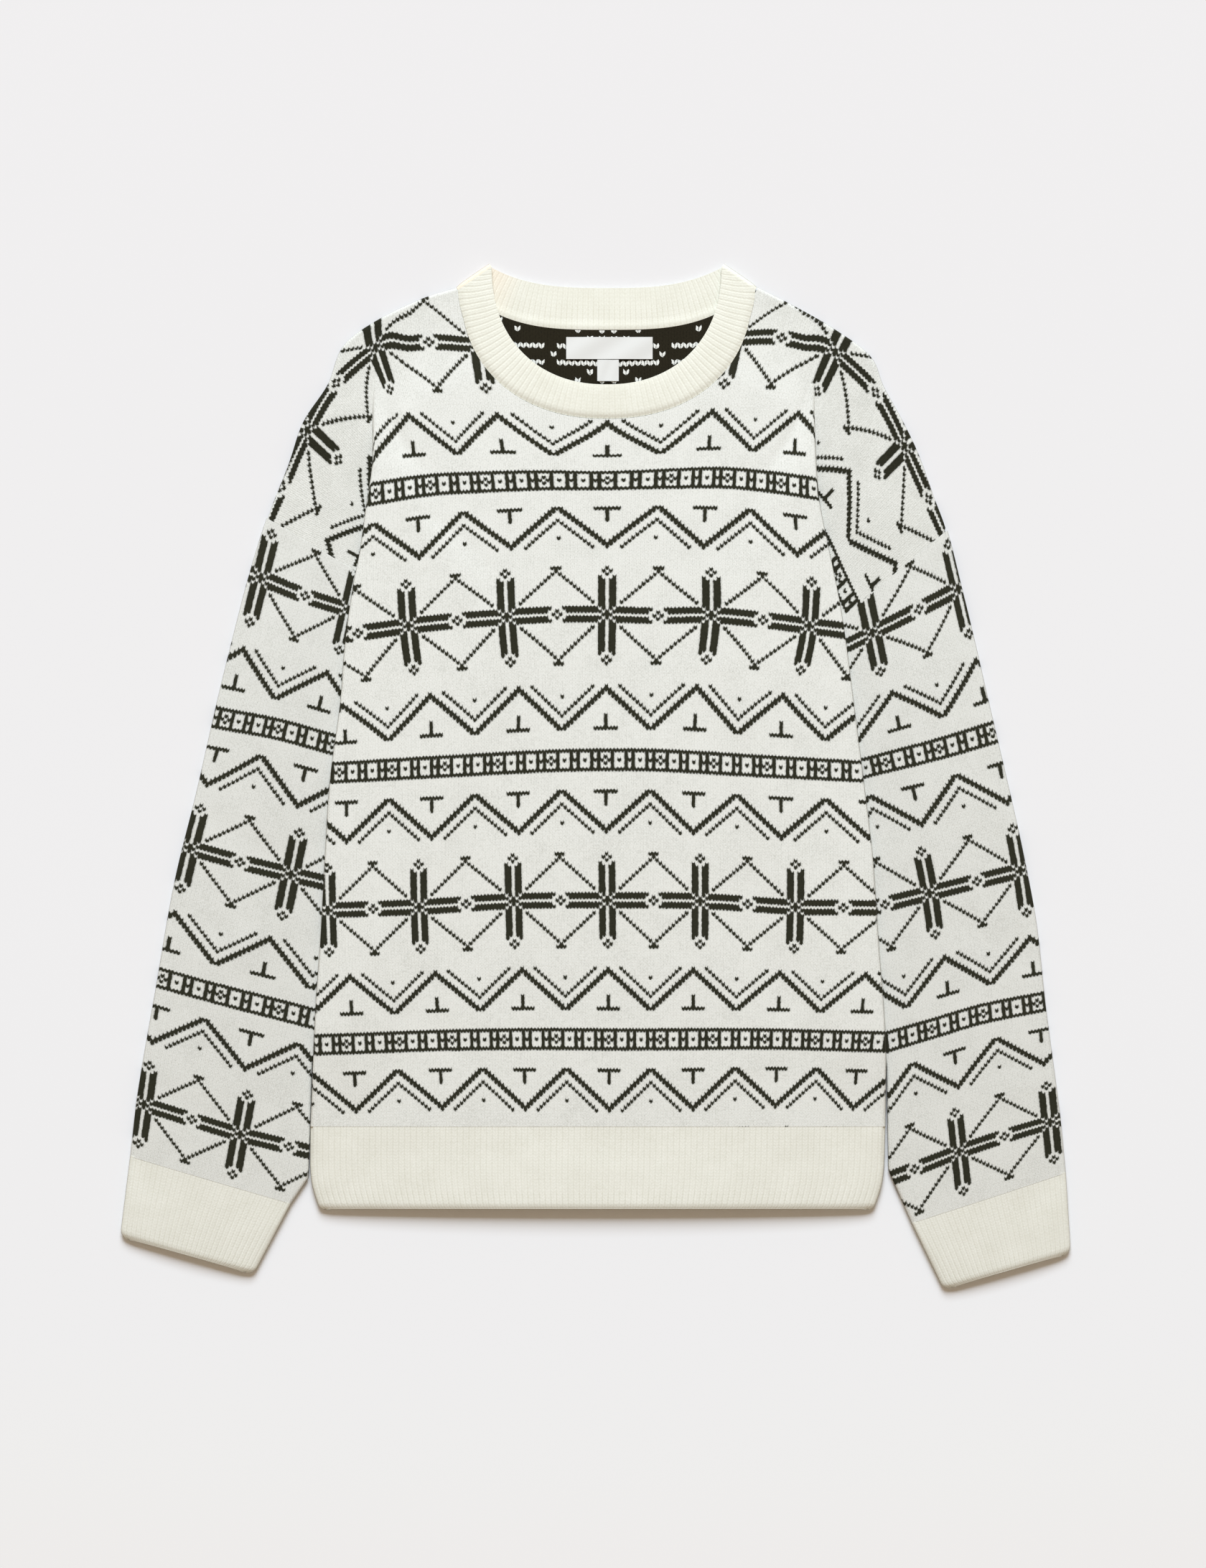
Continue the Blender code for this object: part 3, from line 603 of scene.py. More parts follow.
body_net = Net(BODY_NET)
shoulder_nets = {name: Net(rows) for name, rows in SHOULDER_NETS.items()}
sleeve_nets = {name: Net(rows) for name, rows in SLEEVE_NETS.items()}
test = body_net.stitch_at(np.array([-71.6, 145.1]), np.array([251.8, 258.2]))
print("stitches at two star centres:", np.round(test, 2).tolist())

# %% [markdown]
# ## Creases
#
# Laid cloth keeps shallow folds. A sculpting brush could draw them, but a script can't be asked
# to sculpt the same way twice. So each one is a soft ridge or trough along a line of the plan,
# with its width and its height, which fades towards its ends.

# %% Add creases to a sheet
# (its start, its end, its width, its height), and a trough has a height below 0.
CREASE_FADE = 0.35  # the share of a crease's length over which it fades
CREASES = {
    "body": [
        ((-188, 190), (-112, 262), 17, -0.2),
        ((182, 196), (128, 282), 17, -0.2),
        ((92, 430), (152, 548), 18, -0.4),
        ((-166, 470), (-138, 566), 16, 0.3),
        ((-158, 530), (-78, 576), 12, -0.3),
        ((164, 522), (96, 578), 13, 0.32),
        ((-40, 300), (38, 322), 20, -0.22),
    ],
    "left": [
        ((-292, 392), (-232, 428), 11, -0.35),
        ((-300, 500), (-250, 486), 13, 0.3),
        ((-316, 590), (-268, 622), 11, -0.3),
    ],
    "right": [
        ((236, 372), (300, 402), 12, 0.32),
        ((250, 470), (312, 500), 12, -0.35),
        ((276, 596), (330, 578), 10, 0.28),
    ],
}


def crease_heights(name, x, y):
    """The height that the named creases add at places of the plan."""
    total = np.zeros_like(x)
    for (x0, y0), (x1, y1), width, height in CREASES[name]:
        run = np.array([x1 - x0, y1 - y0], float)
        length = np.hypot(*run)
        run /= length
        s = (x - x0) * run[0] + (y - y0) * run[1]
        off = (x - x0) * run[1] - (y - y0) * run[0]
        ends = smooth_all(np.minimum(s, length - s) / (length * CREASE_FADE) + 0.5)
        total += height * np.exp(-((off / width) ** 2)) * ends
    return total


print("creases:", {name: len(rows) for name, rows in CREASES.items()})

# %% [markdown]
# ## Making a sheet
#
# Every sheet starts as Blender's own grid and has its points moved to where the sections say, so
# its faces are even and all four-sided. Near a cut edge one more row lies close to the last: the
# smooth shading then turns within that row, and the edge looks crisp and not blown up.

# %% A grid's points
EDGE_ROW = 0.06  # how far in the extra row lies, as a share of a row
collection = bpy.data.collections.new("jumper_cloth")
bpy.context.scene.collection.children.link(collection)


def in_metres(points):
    """Points as (across, down, height) in millimetres turned into x, y and z in metres."""
    points = np.asarray(points, float)
    x = (points[..., 0] + CENTRE_X) * MM
    y = (TOP_Y - points[..., 1]) * MM
    return np.stack([x, y, points[..., 2] * MM], axis=-1)


def with_edge_rows(table, axis):
    """The table with one more row close to each end, which keeps the cloth's cut edge crisp."""
    table = np.moveaxis(np.asarray(table, float), axis, 0)
    near = [
        table[edge : edge + 1] * (1 - EDGE_ROW) + table[inner : inner + 1] * EDGE_ROW
        for edge, inner in ((0, 1), (len(table) - 1, len(table) - 2))
    ]
    table = np.concatenate([table[:1], near[0], table[1:-1], near[1], table[-1:]])
    return np.moveaxis(table, 0, axis)


def both_halves(left, right):
    """One table from two halves that both start at the centre front."""
    return np.concatenate([left[:, ::-1], right[:, 1:]], axis=1)


print("a point at the centre front, 100 mm down:", in_metres((0, 100, 0)).round(4).tolist())

# %% [markdown]
# The stitch map is stored on the grid before a tube's two ends are merged, so that it may differ on
# both sides of that line. A Solidify modifier gives the cloth its thickness. Two separate faces
# could be built, but they would drift apart where the cloth turns, and one set of points can't.

# %% Turn a grid of points into a piece of cloth


def grid_mesh(points, stitches):
    """A bmesh grid through rows of points in metres, with its stitch map."""
    rows, columns = points.shape[:2]
    bm = bmesh.new()
    bmesh.ops.create_grid(bm, x_segments=columns - 1, y_segments=rows - 1, size=1)
    bm.verts.ensure_lookup_table()
    for vertex, spot in zip(bm.verts, points.reshape(-1, 3)):
        vertex.co = spot
    layer = bm.loops.layers.uv.new("Stitches")
    flat_stitches = np.asarray(stitches, float).reshape(-1, 2)
    for face in bm.faces:
        for loop in face.loops:
            loop[layer].uv = flat_stitches[loop.vert.index]
    return bm


def face_outwards(bm, closed, upside_down):
    """Turns the faces of a tube outwards, and those of a flat sheet up, or down if it is turned."""
    bm.normal_update()
    if closed:
        bmesh.ops.recalc_face_normals(bm, faces=bm.faces)
        wrong = max(bm.faces, key=lambda face: face.calc_center_median().z).normal.z < 0
    else:
        facing = sum(face.normal.z * face.calc_area() for face in bm.faces)
        wrong = (facing < 0) != upside_down
    if wrong:
        bmesh.ops.reverse_faces(bm, faces=bm.faces)


def sheet_object(name, points, stitches, thick, closed=False, upside_down=False, turned=None):
    """A sheet through rows of points, with its stitch map, as an object with a thickness."""
    for axis in (0,) if closed else (0, 1):
        points, stitches = with_edge_rows(points, axis), with_edge_rows(stitches, axis)
    bm = grid_mesh(in_metres(points), stitches)
    if closed:
        bmesh.ops.remove_doubles(bm, verts=bm.verts, dist=1e-7)
    face_outwards(bm, closed, upside_down)
    mesh = bpy.data.meshes.new(name)
    bm.to_mesh(mesh)
    bm.free()
    mesh.shade_smooth()
    # The shoulder's share, which the material turns into painted shade.
    if turned is not None:
        turned = with_edge_rows(with_edge_rows(turned, 0), 1).ravel()
        mesh.attributes.new("TurnedShade", "FLOAT", "POINT").data.foreach_set("value", turned)
    obj = bpy.data.objects.new(name, mesh)
    collection.objects.link(obj)
    wall = obj.modifiers.new("Cloth", "SOLIDIFY")
    wall.thickness = thick * MM
    wall.offset = 0.0
    area = sum(face.area for face in mesh.polygons)
    print(f"{name}: {points.shape[0]} rows of {points.shape[1]}, {area:.4f} square metres")
    return obj


# %% [markdown]
# ## The front
#
# The belly rises a little from the neck to the hem, and lifts at each side over the layers that
# lie under its edge. One flat plane would look like a print of a jumper: the lift is what gives
# the edge its soft shade.

# %% One half of a row of the front
BELLY_COLUMNS = 60
SETTLE_RUN = 250  # how far down the columns become straight and even
LIFT_BLEND = (22, 45)  # how wide the lift's slope is, at the neck and from the chest down


def under_width(side, down):
    """How far in from its edge the front still has to clear the layers beneath it."""
    if down < FOLD_START:
        return 0.0
    if on_body(side, down):
        width = tuck(side, down)[1]
    else:
        width = max(along(side["edge"], down) - sleeve_inner(side, down), 0.0)
    return width + 20 * smooth((down - FOLD_START) / 40)


def lift_share(side, down, out, blend):
    """How much of the edge's lift the front has at a place: 0 at its middle, 1 at its edge."""
    inner = fold_start(side, down) - under_width(side, down) - blend
    return smooth((out - inner) / blend)


def front_half(side, down, columns):
    """One half of a row of the front, from the centre to its end beyond the body's edge."""
    start_out, edge_z = fold_start(side, down), edge_height(side, down)
    near, far = LIFT_BLEND
    blend = near + (far - near) * smooth((down - 100) / 120)
    half = []
    for j in range(len(columns)):
        row_down, out = column_place(columns, j, start_out, down, SETTLE_RUN)
        lift = lift_share(side, down, out, blend)
        half.append(place(side, row_down, out, along(BELLY, row_down) * (1 - lift) + edge_z * lift))
    return half + settled_beyond(side, down)


columns = neck_columns(front_neck, BELLY[0][0], BELLY_COLUMNS)
print("first row:", len(front_half(LEFT, BELLY[0][0], columns)), "points from the centre")

# %% [markdown]
# The stitch map of a flat sheet would be its own rows and columns. Here the body's net and the
# shoulder's meet in the hidden part of the fold, so each visible face has the stitches where they
# lie. Higher up there is no fold to hide in, and the two blend over a few stitches instead. The
# share of the shoulder is kept on the points: the material paints shade on that cloth, whose
# stitches lie turned to the light.

# %% The front's stitch map
NETS_MEET = 155.0  # how far out the two nets meet where there is no fold
NETS_BLEND = 14.0  # and over how far on each side of that line
STITCH_WIDE = 2.45


def front_stitches(name, side, downs, half):
    """The stitch map of one half, and how much of each point is the shoulder's cloth, which gets
    painted shade.
    """
    body, shoulder = body_net.map_of(half), shoulder_nets[name].map_of(half)
    stitches, turned = body.copy(), np.zeros(half.shape[:2])
    last = half.shape[1] - BEYOND - 1
    for i, down in enumerate(downs):
        steps = np.linalg.norm(np.diff(half[i, last:], axis=0), axis=1)
        run = np.concatenate([[0.0], np.cumsum(steps)])
        if not on_body(side, down):
            edge = body[i, last]
            stitches[i, last:, 0] = edge[0] + side["sign"] * run / STITCH_WIDE
            stitches[i, last:, 1] = edge[1]
            continue
        open_share = 1 - smooth((down - FOLD_START) / 20)
        margin = NETS_BLEND * open_share + 0.01
        past_edge = np.abs(half[i, :, 0]) - fold_start(side, down)
        run = np.concatenate([past_edge[: last + 1], run[1:]])
        start = (NETS_MEET - fold_start(side, down)) * open_share - margin
        hidden = (1 - open_share) * run[last + HIDDEN]
        share = smooth_all((run - start) / (2 * margin * open_share + 0.02 + hidden))
        stitches[i] = body[i] * (1 - share[:, None]) + shoulder[i] * share[:, None]
        crisp = smooth((down - FOLD_START) / 50)
        reach = smooth_all((past_edge + NETS_BLEND) / (2 * NETS_BLEND))
        turned[i] = share * crisp + reach * (1 - crisp)
    return stitches, turned


SIDES = {"left": LEFT, "right": RIGHT}
test_row = np.array([front_half(LEFT, 200.0, columns)])
test_map, _ = front_stitches("left", LEFT, [200.0], test_row)
print("stitches across half a row at 200 mm:", round(float(np.ptp(test_map[..., 0])), 1))

# %% [markdown]
# Rows lie every few millimetres, close enough for the folds to look round. The creases are added,
# and the last row dips very slightly at the seams, as cloth does where it is linked to a rib.

# %% Lay out the front
ROW_STEP = 3.4
SEAM_DIP = 0.03


def front_side(name, side, downs):
    """One half of the front: its points, its stitch map and its shoulder share."""
    half = np.array([front_half(side, down, columns) for down in downs])
    half[..., 2] += crease_heights("body", half[..., 0], half[..., 1])
    half[0, :, 2] -= SEAM_DIP / 2
    half[-1, :, 2] -= SEAM_DIP
    for i, down in enumerate(downs):
        if side["tip"][0] < down and on_body(side, down):
            half[i, -2:, 2] -= (SEAM_DIP / 2, SEAM_DIP)
    return half, *front_stitches(name, side, downs, half)


top_row = BELLY[0][0]
downs = np.linspace(top_row, HEM_SEAM, round((HEM_SEAM - top_row) / ROW_STEP) + 1)
halves = zip(*(front_side(name, side, downs) for name, side in SIDES.items()))
points, stitches, turned = (both_halves(*pair) for pair in halves)
front = sheet_object("front_knit", points, stitches, CLOTH, turned=turned)

# %% [markdown]
# ## The back
#
# The back is one flat layer, lying face down, so its inside shows in the neck. In a jacquard knit
# the inside carries the other colour at each stitch. It could be a copy of the front, but it has to
# stop short of the rolled shoulders and of the sleeves, so it has an outline of its own.

# %% The back's outline
BACK_ROWS = 120
BACK_COLUMNS = 40
BACK_BEYOND = 8
BACK_SETTLE_RUN = 150
ROLL_CLEAR = 0.35  # the gap to the front's outer edge where that hangs upright
ROLL_INSET = 3.0  # and how much wider the gap is where it lies flat


def back_half_width(side, down):
    """How far out the back goes, below the shoulder: just short of what is there."""
    if on_body(side, down):
        return on_line(side["tip"], side["underarm"], down) - 0.2
    down = max(down, side["underarm"][0] + 5.5)
    return abs(beyond_edge(side, down)[-1][0]) - 0.3


def outline_inset(side, down, inset):
    """The place inside the outline, at right angles to it."""
    ahead = along(side["outline"], down + 3) - along(side["outline"], down - 3)
    across = Vector((ahead, -6)).normalized()
    return Vector((down, along(side["outline"], down))) + across * inset


print("the back at 200 mm is", round(back_half_width(LEFT, 200), 1), "mm wide on the left")

# %% [markdown]
# Its stitches lie on a net of their own, which only has to be right in the neck, where it shows.

# %% Lay out the back


def back_half(side, down, columns):
    """One half of a row of the back, from the centre to its outline."""
    end_down, end_out = down, back_half_width(side, down)
    if down <= side["tip"][0]:
        outline_down = along(SHOULDER_ROWS, down) if down < SHOULDER_ROWS[-1][0] else down
        roll = min((side["tip"][0] - down) / ROLL_FADE, 1.0)
        inset = CLOTH + ROLL_CLEAR + ROLL_INSET * (1 - roll) ** 0.5
        end_down, end_out = outline_inset(side, outline_down, inset)
    lined_up = smooth((down - top_row) / 40)
    edge_out = min(along(side["edge"], down) - 4.0, end_out - 6.0) * lined_up
    edge_out += columns[-1][1] * (1 - lined_up)
    half = [
        place(side, *column_place(columns, j, edge_out, down, BACK_SETTLE_RUN), BACK_Z)
        for j in range(len(columns))
    ]
    for j in range(1, BACK_BEYOND + 1):
        t = j / BACK_BEYOND
        spot = down + (end_down - down) * t, edge_out + (end_out - edge_out) * t
        half.append(place(side, *spot, BACK_Z))
    return half


BACK_NET = [
    (-15, [(-28, -84, 21), (0, 1, 23.5), (28, 86, 21)]),
    (0, [(-28, -84, 61.5), (-14, -41.5, 62.5), (0, 1, 63.5), (14, 43.5, 62.5), (28, 86, 61.5)]),
    (15, [(-28, -84, 99), (0, 1, 103.5), (28, 86, 99)]),
    (180, [(-28, -74, 485), (0, 1, 490), (28, 76, 485)]),
]
back_columns = neck_columns(back_neck, top_row, BACK_COLUMNS)
back_downs = np.linspace(top_row, HEM_SEAM, BACK_ROWS)
halves = (
    np.array([back_half(side, down, back_columns) for down in back_downs])
    for side in SIDES.values()
)
points = both_halves(*halves)
back = sheet_object("back_knit", points, Net(BACK_NET).map_of(points), CLOTH, upside_down=True)

# %% [markdown]
# ## Tubes laid flat
#
# A sleeve, a cuff and the hem are tubes pressed flat: two walls and two folds. A cylinder could be
# squashed, but then its walls would have no say in how wide they are. The section below starts in
# the middle of the inner fold, goes out along the lower wall, round the outer fold, and back along
# the upper wall, which puts the stitch map's join where the real seam is.

# %% A flattened tube's section
FOLD_TURNS = 5  # steps in a quarter of a fold


def tube_section(radius, upper, lower, turns):
    """(t, sideways, up) round a flattened tube: t is 0 at the outer fold, 1 at the inner."""

    def fold(across, start, sweep, steps):
        angles = [start + sweep * j / steps for j in range(1, steps + 1)]
        return [(across, radius * math.cos(angle), math.sin(angle)) for angle in angles]

    section = [(1.0, radius, 0.0)] + fold(1.0, 0, -math.pi / 2, turns)
    section += [(1 - j / lower, 0.0, -1.0) for j in range(1, lower + 1)]
    section += fold(0.0, -math.pi / 2, -math.pi, 2 * turns)
    section += [(j / upper, 0.0, 1.0) for j in range(1, upper + 1)]
    return section + fold(1.0, math.pi / 2, -math.pi / 2, turns)


def station_line(outer, inner, inset):
    """(start, direction, length) of a tube's station, between the middles of its two folds."""
    outer, inner = Vector(outer), Vector(inner)
    way = (inner - outer).normalized()
    return outer + way * inset, way, (inner - outer).length - 2 * inset


print("points round a small tube:", len(tube_section(1.4, 8, 8, FOLD_TURNS)))

# %% [markdown]
# ## The sleeves
#
# Each sleeve runs from the armhole's seam, under the body's edge, down to its cuff. Its upper wall
# stands a little puffed where nothing lies on it. A cloth simulation would puff it too, but it
# would also slide the pattern off its places.

# %% The sleeve's inner fold and its puff
SLEEVE_PUFF = 1.8
PUFF_CLEAR = 16.0  # the puff starts this far out from the body's edge


def inner_place(side, start, end, t):
    """The sleeve's inner fold: straight under the body, then beside it, then in to the cuff."""
    clears = side["sleeve_clears"]
    bends = [start, (clears, sleeve_inner(side, clears)), side["sleeve_corner"], end]
    runs = [math.dist(a, b) for a, b in zip(bends, bends[1:])]
    goal = t * sum(runs)
    for a, b, run in zip(bends, bends[1:], runs):
        if goal <= run + 1e-9:
            return a[0] + (b[0] - a[0]) * goal / run, a[1] + (b[1] - a[1]) * goal / run
        goal -= run
    return end


def puff(side, spot, t):
    """How far the sleeve's upper wall rises where nothing lies on it."""
    body = along(side["edge"], min(spot[0], HEM_SEAM)) + PUFF_CLEAR
    outer = along(side["outline"], spot[0])
    share = (spot[1] - body) / max(outer - body, 1.0)
    if not 0 < share < 1:
        return 0.0
    return SLEEVE_PUFF * math.sin(math.pi * share) * smooth(t / 0.2)


print("puff half way down:", round(puff(LEFT, (400, 260), 0.5), 2), "mm")

# %% [markdown]
# A tube's stitches go all round it. The upper wall takes them from the sleeve's net, the two folds
# count on from there, and the lower wall mirrors the upper one, so the pattern meets itself.

# %% Lay out the sleeves
STATIONS = 138
UPPER_POINTS, LOWER_POINTS = 44, 22
FOLD_STITCHES = 1.8  # how many stitches go round a fold
ARMHOLE_SHARE = 0.91  # how far along the armhole, from its tip, the sleeve's top reaches
SEAM_LAP = 0.6  # how far a rib laps over the piece it is linked to


def sleeve_points(name, side, section, top):
    """The points of a sleeve. top is the upper wall's place in the section."""
    radius = SLEEVE_RISE / 2
    tip, underarm = side["tip"], side["underarm"]
    inner_start = Vector(tip).lerp(Vector(underarm), ARMHOLE_SHARE)
    cuff_outer, cuff_inner = side["cuff_seam"]
    points = []
    for i in range(STATIONS + 1):
        t = i / STATIONS
        outer_down = tip[0] + (cuff_outer[0] - tip[0]) * t + (SEAM_LAP if i == STATIONS else 0)
        outer = (outer_down, along(side["outline"], outer_down))
        inner = inner_place(side, inner_start, cuff_inner, t)
        start, way, span = station_line(outer, inner, radius + CLOTH / 2)
        row = []
        for across, sideways, up in section:
            spot = start + way * (span * across + sideways)
            height = BACK_Z + radius + up * radius
            if up == 1.0:
                height += puff(side, spot, t)
            row.append(place(side, spot.x, spot.y, height))
        points.append(row)
    points = np.array(points)
    points[:, top, 2] += crease_heights(name, points[:, top, 0], points[:, top, 1])
    points[0, top, 2] -= SEAM_DIP
    points[-1, top, 2] -= SEAM_DIP / 2
    return points


def sleeve_stitches(name, side, points, section, top):
    """The stitch map of a sleeve, all round."""
    u, v = sleeve_nets[name].stitch_at(points[:, top, 0], points[:, top, 1])
    stitches = np.zeros(points.shape[:2] + (2,))
    inward = -side["sign"]
    shares = np.array([across for across, _, _ in section])
    wall = np.linspace(0, 1, UPPER_POINTS + 1)
    outer_fold = slice(top.start - 2 * FOLD_TURNS, top.start + 1)
    half_fold = inward * np.linspace(0, FOLD_STITCHES / 2, FOLD_TURNS + 1)
    for row, wide, rows_down in zip(stitches, u, v):
        first = wide[0] - inward * FOLD_STITCHES
        row[:, 0] = wide[0] + first - np.interp(shares, wall, wide)
        row[:, 1] = np.interp(shares, wall, rows_down)
        row[top, 0] = wide
        row[outer_fold, 0] = np.linspace(first, wide[0], 2 * FOLD_TURNS + 1)
        row[top.stop - 1 :, 0] = wide[-1] + half_fold
        row[: FOLD_TURNS + 1, 0] -= half_fold[::-1]
    return stitches


def sleeve(name, side):
    section = tube_section(SLEEVE_RISE / 2, UPPER_POINTS, LOWER_POINTS, FOLD_TURNS)
    top = slice(len(section) - FOLD_TURNS - UPPER_POINTS - 1, len(section) - FOLD_TURNS)
    points = sleeve_points(name, side, section, top)
    stitches = sleeve_stitches(name, side, points, section, top)
    return sheet_object(f"sleeve_{name}_knit", points, stitches, CLOTH, closed=True)


sleeves = {name: sleeve(name, side) for name, side in SIDES.items()}

# %% [markdown]
# ## Ribs
#
# The hem, the cuffs and the neckband are knitted in rib: columns of stitches stand up beside
# columns that sink. A bump in the material could fake that from above. Here each rib is a rounded
# ridge of the sheet itself, so it shows at the edges and in side views too. The map counts ribs
# across and rows down.

# %% A rib's ridge, and where the stations of a tube lie
RIB_PITCH = 4.27
RIB_RISE = 0.22
RIB_POINTS = 6  # for each rib
RIB_ROUND = 0.7  # below 1 the ridge is broad and the valley narrow


def rib_profile(phase):
    """The height of a rib's ridge, 0 to 1, at a phase in ribs."""
    return abs(math.cos(math.pi * phase)) ** RIB_ROUND


def even_steps(length, count):
    """(share, distance from the seam, distance to the edge) of stations closer at both ends."""
    shares = [0.5 - 0.5 * math.cos(math.pi * i / count) for i in range(count + 1)]
    return [(t, t * length, (1 - t) * length) for t in shares]


print("a ridge a quarter of the way to its valley:", round(rib_profile(0.125), 3))

# %% [markdown]
# A rib draws in and is thicker than the knit, so a ribbed tube stands up a little between its
# folds, and meets the piece above it at that piece's own height. Its free edge rolls slightly
# down. All three are heights that depend on how far from the seam and from the edge a point is.

# %% A flattened ribbed tube
SEAM_SETTLES = 34.0  # the rib reaches its own height this far from its seam
ROW_TALL = 2.2
EDGE_ROLL = 1.2


def rib_tube(name, stations, side, rise, belly, ribs, corner, seam_height):
    """A flat ribbed tube. Each station: (outer, inner, distance from the seam, to the edge)."""
    radius, wall = rise / 2, RIB_CLOTH / 2
    length = stations[0][3]
    section = tube_section(radius, ribs * RIB_POINTS, ribs * RIB_POINTS, FOLD_TURNS)
    points, stitches = [], []
    for outer, inner, from_seam, to_edge in stations:
        rounded = max(corner - to_edge, 0.0)
        inset = corner - math.sqrt(corner**2 - rounded**2)
        start, way, span = station_line(outer, inner, radius + wall + inset)
        settled = smooth(from_seam / SEAM_SETTLES)
        roll = EDGE_ROLL * (1 - smooth(to_edge / 4)) ** 2
        ridge = RIB_RISE * smooth(from_seam / 3 + 0.1) * smooth(to_edge / 5)
        row, numbers = [], []
        for across, sideways, up in section:
            spot = start + way * (span * across + sideways)
            height = wall + radius + up * radius - roll * max(up, 0)
            if abs(up) == 1.0:
                height += (rib_profile(across * ribs) - 1) * ridge * up
            if up == 1.0:
                crown = belly * math.sin(math.pi * across) ** 0.5 * (1 - 0.4 * to_edge / length)
                flush = seam_height(side, spot) - wall
                height = flush + (height + crown - flush) * settled
            row.append(place(side, spot.x, spot.y, height))
            numbers.append((across * ribs * (1 if up > 0 else -1), from_seam / ROW_TALL))
        points.append(row)
        stitches.append(numbers)
    return sheet_object(name, points, stitches, RIB_CLOTH, closed=True)


# %% [markdown]
# The cuffs and the hem are this one tube with other sizes. Their stations lie closer at the seam
# and at the edge, where the height changes most, and a rib laps a little over the knit at its seam.

# %% The cuffs and the hem
CUFF_BELLY, CUFF_STATIONS, CUFF_CORNER = 1.8, 26, 5.0
HEM_BELLY, HEM_STATIONS, HEM_CORNER = 4.6, 24, 3.0
CUFF_UNDER, HEM_UNDER = 0.03, 0.05  # a rib's top starts this much under the knit's at its seam


def sleeve_top(side, spot):
    """The top of the sleeve's cloth at its cuff."""
    top = BACK_Z + SLEEVE_RISE + puff(side, spot, 1.0) + CLOTH / 2
    return top - SEAM_DIP / 2 - CUFF_UNDER


def front_top(side, spot):
    """The top of the front's cloth at its hem seam."""
    half = LEFT if spot[1] < 0 else RIGHT
    lift = lift_share(half, HEM_SEAM, abs(spot[1]), LIFT_BLEND[1])
    middle = along(BELLY, HEM_SEAM) * (1 - lift) + HEM_EDGE_Z * lift
    return middle + CLOTH / 2 - SEAM_DIP - HEM_UNDER


def cuff(name, side):
    seam, end = side["cuff_seam"], side["cuff_end"]
    length = math.dist(seam[0], end[0])
    stations = []
    for t, from_seam, to_edge in even_steps(length, CUFF_STATIONS):
        lapped = t - SEAM_LAP / length * (1 - t)
        outer, inner = (Vector(a).lerp(Vector(b), lapped) for a, b in zip(seam, end))
        stations.append((outer, inner, from_seam, to_edge))
    ribs = round(math.dist(*seam) / RIB_PITCH)
    rise = SLEEVE_RISE + 0.2
    return rib_tube(
        f"cuff_{name}_rib", stations, side, rise, CUFF_BELLY, ribs, CUFF_CORNER, sleeve_top
    )


def hem():
    top, bottom = HEM_SEAM - SEAM_LAP, LEFT["hem"][-1][0]
    stations = []
    for t, from_seam, to_edge in even_steps(bottom - top, HEM_STATIONS):
        down = top + from_seam
        left, right = along(LEFT["hem"], down), along(RIGHT["hem"], down)
        stations.append(((down, -left), (down, right), from_seam, to_edge))
    ribs = round((LEFT["hem"][0][1] + RIGHT["hem"][0][1]) / RIB_PITCH)
    rise = SLEEVE_RISE + 0.6
    return rib_tube(
        "hem_rib_knit", stations, RIGHT, rise, HEM_BELLY, ribs, HEM_CORNER, front_top
    )


cuffs = {name: cuff(name, side) for name, side in SIDES.items()}
hem_piece = hem()

# %% [markdown]
# ## The neckband
#
# The band is a ribbed ring. Its front half lies over its back half, and it folds at both
# shoulders. A torus could be bent to this, but its ribs would fan out where the band narrows. So
# each half is spanned between two curves, the seam and the free edge.

# %% The two layers of the band
FLARE_FROM = 0.86  # the band spreads from this share of a layer to its fold


def flared(line, share):
    """How much further out the band reaches as it comes to its fold."""
    return Vector((0.0, line["flare"] * smooth((share - FLARE_FROM) / (1 - FLARE_FROM))))


def ring_front(share, v):
    """(place, height) on the band's front: share 0 at the centre, v 0 at the seam."""
    a, b = (
        Vector(neck_point(line["half"], line["top"], line["front"], FRONT_CURVE, share))
        + flared(line, share)
        for line in (NECK_SEAM, NECK_FREE)
    )
    z = NECK_FOLD_Z + (NECK_FRONT_Z - NECK_FOLD_Z) * math.cos(share * math.pi / 2)
    return a.lerp(b, v), z


def ring_back(share, v):
    """(place, height) on the band's back: share 0 at the centre, v 0 at the seam."""
    ends = []
    for line, power in ((NECK_SEAM, BACK_SEAM_CURVE), (NECK_FREE, BACK_FREE_CURVE)):
        rise = (line["back"] - line["top"]) * (1 - share**power)
        ends.append(Vector((line["top"] + rise, share * line["half"])) + flared(line, share))
    return ends[0].lerp(ends[1], v), NECK_BACK_Z


print("the band is", round((ring_front(0, 1)[0] - ring_front(0, 0)[0]).length, 1), "mm deep")

# %% [markdown]
# A knitted rib stays square to the band's middle line, whatever the curve does. So the ribs are
# counted along the middle, and their numbers at the seam and at the free edge are set back or
# forward by how much the line across the band slants there.

# %% How the ribs run along a layer
BAND_POINTS = 8  # for each rib


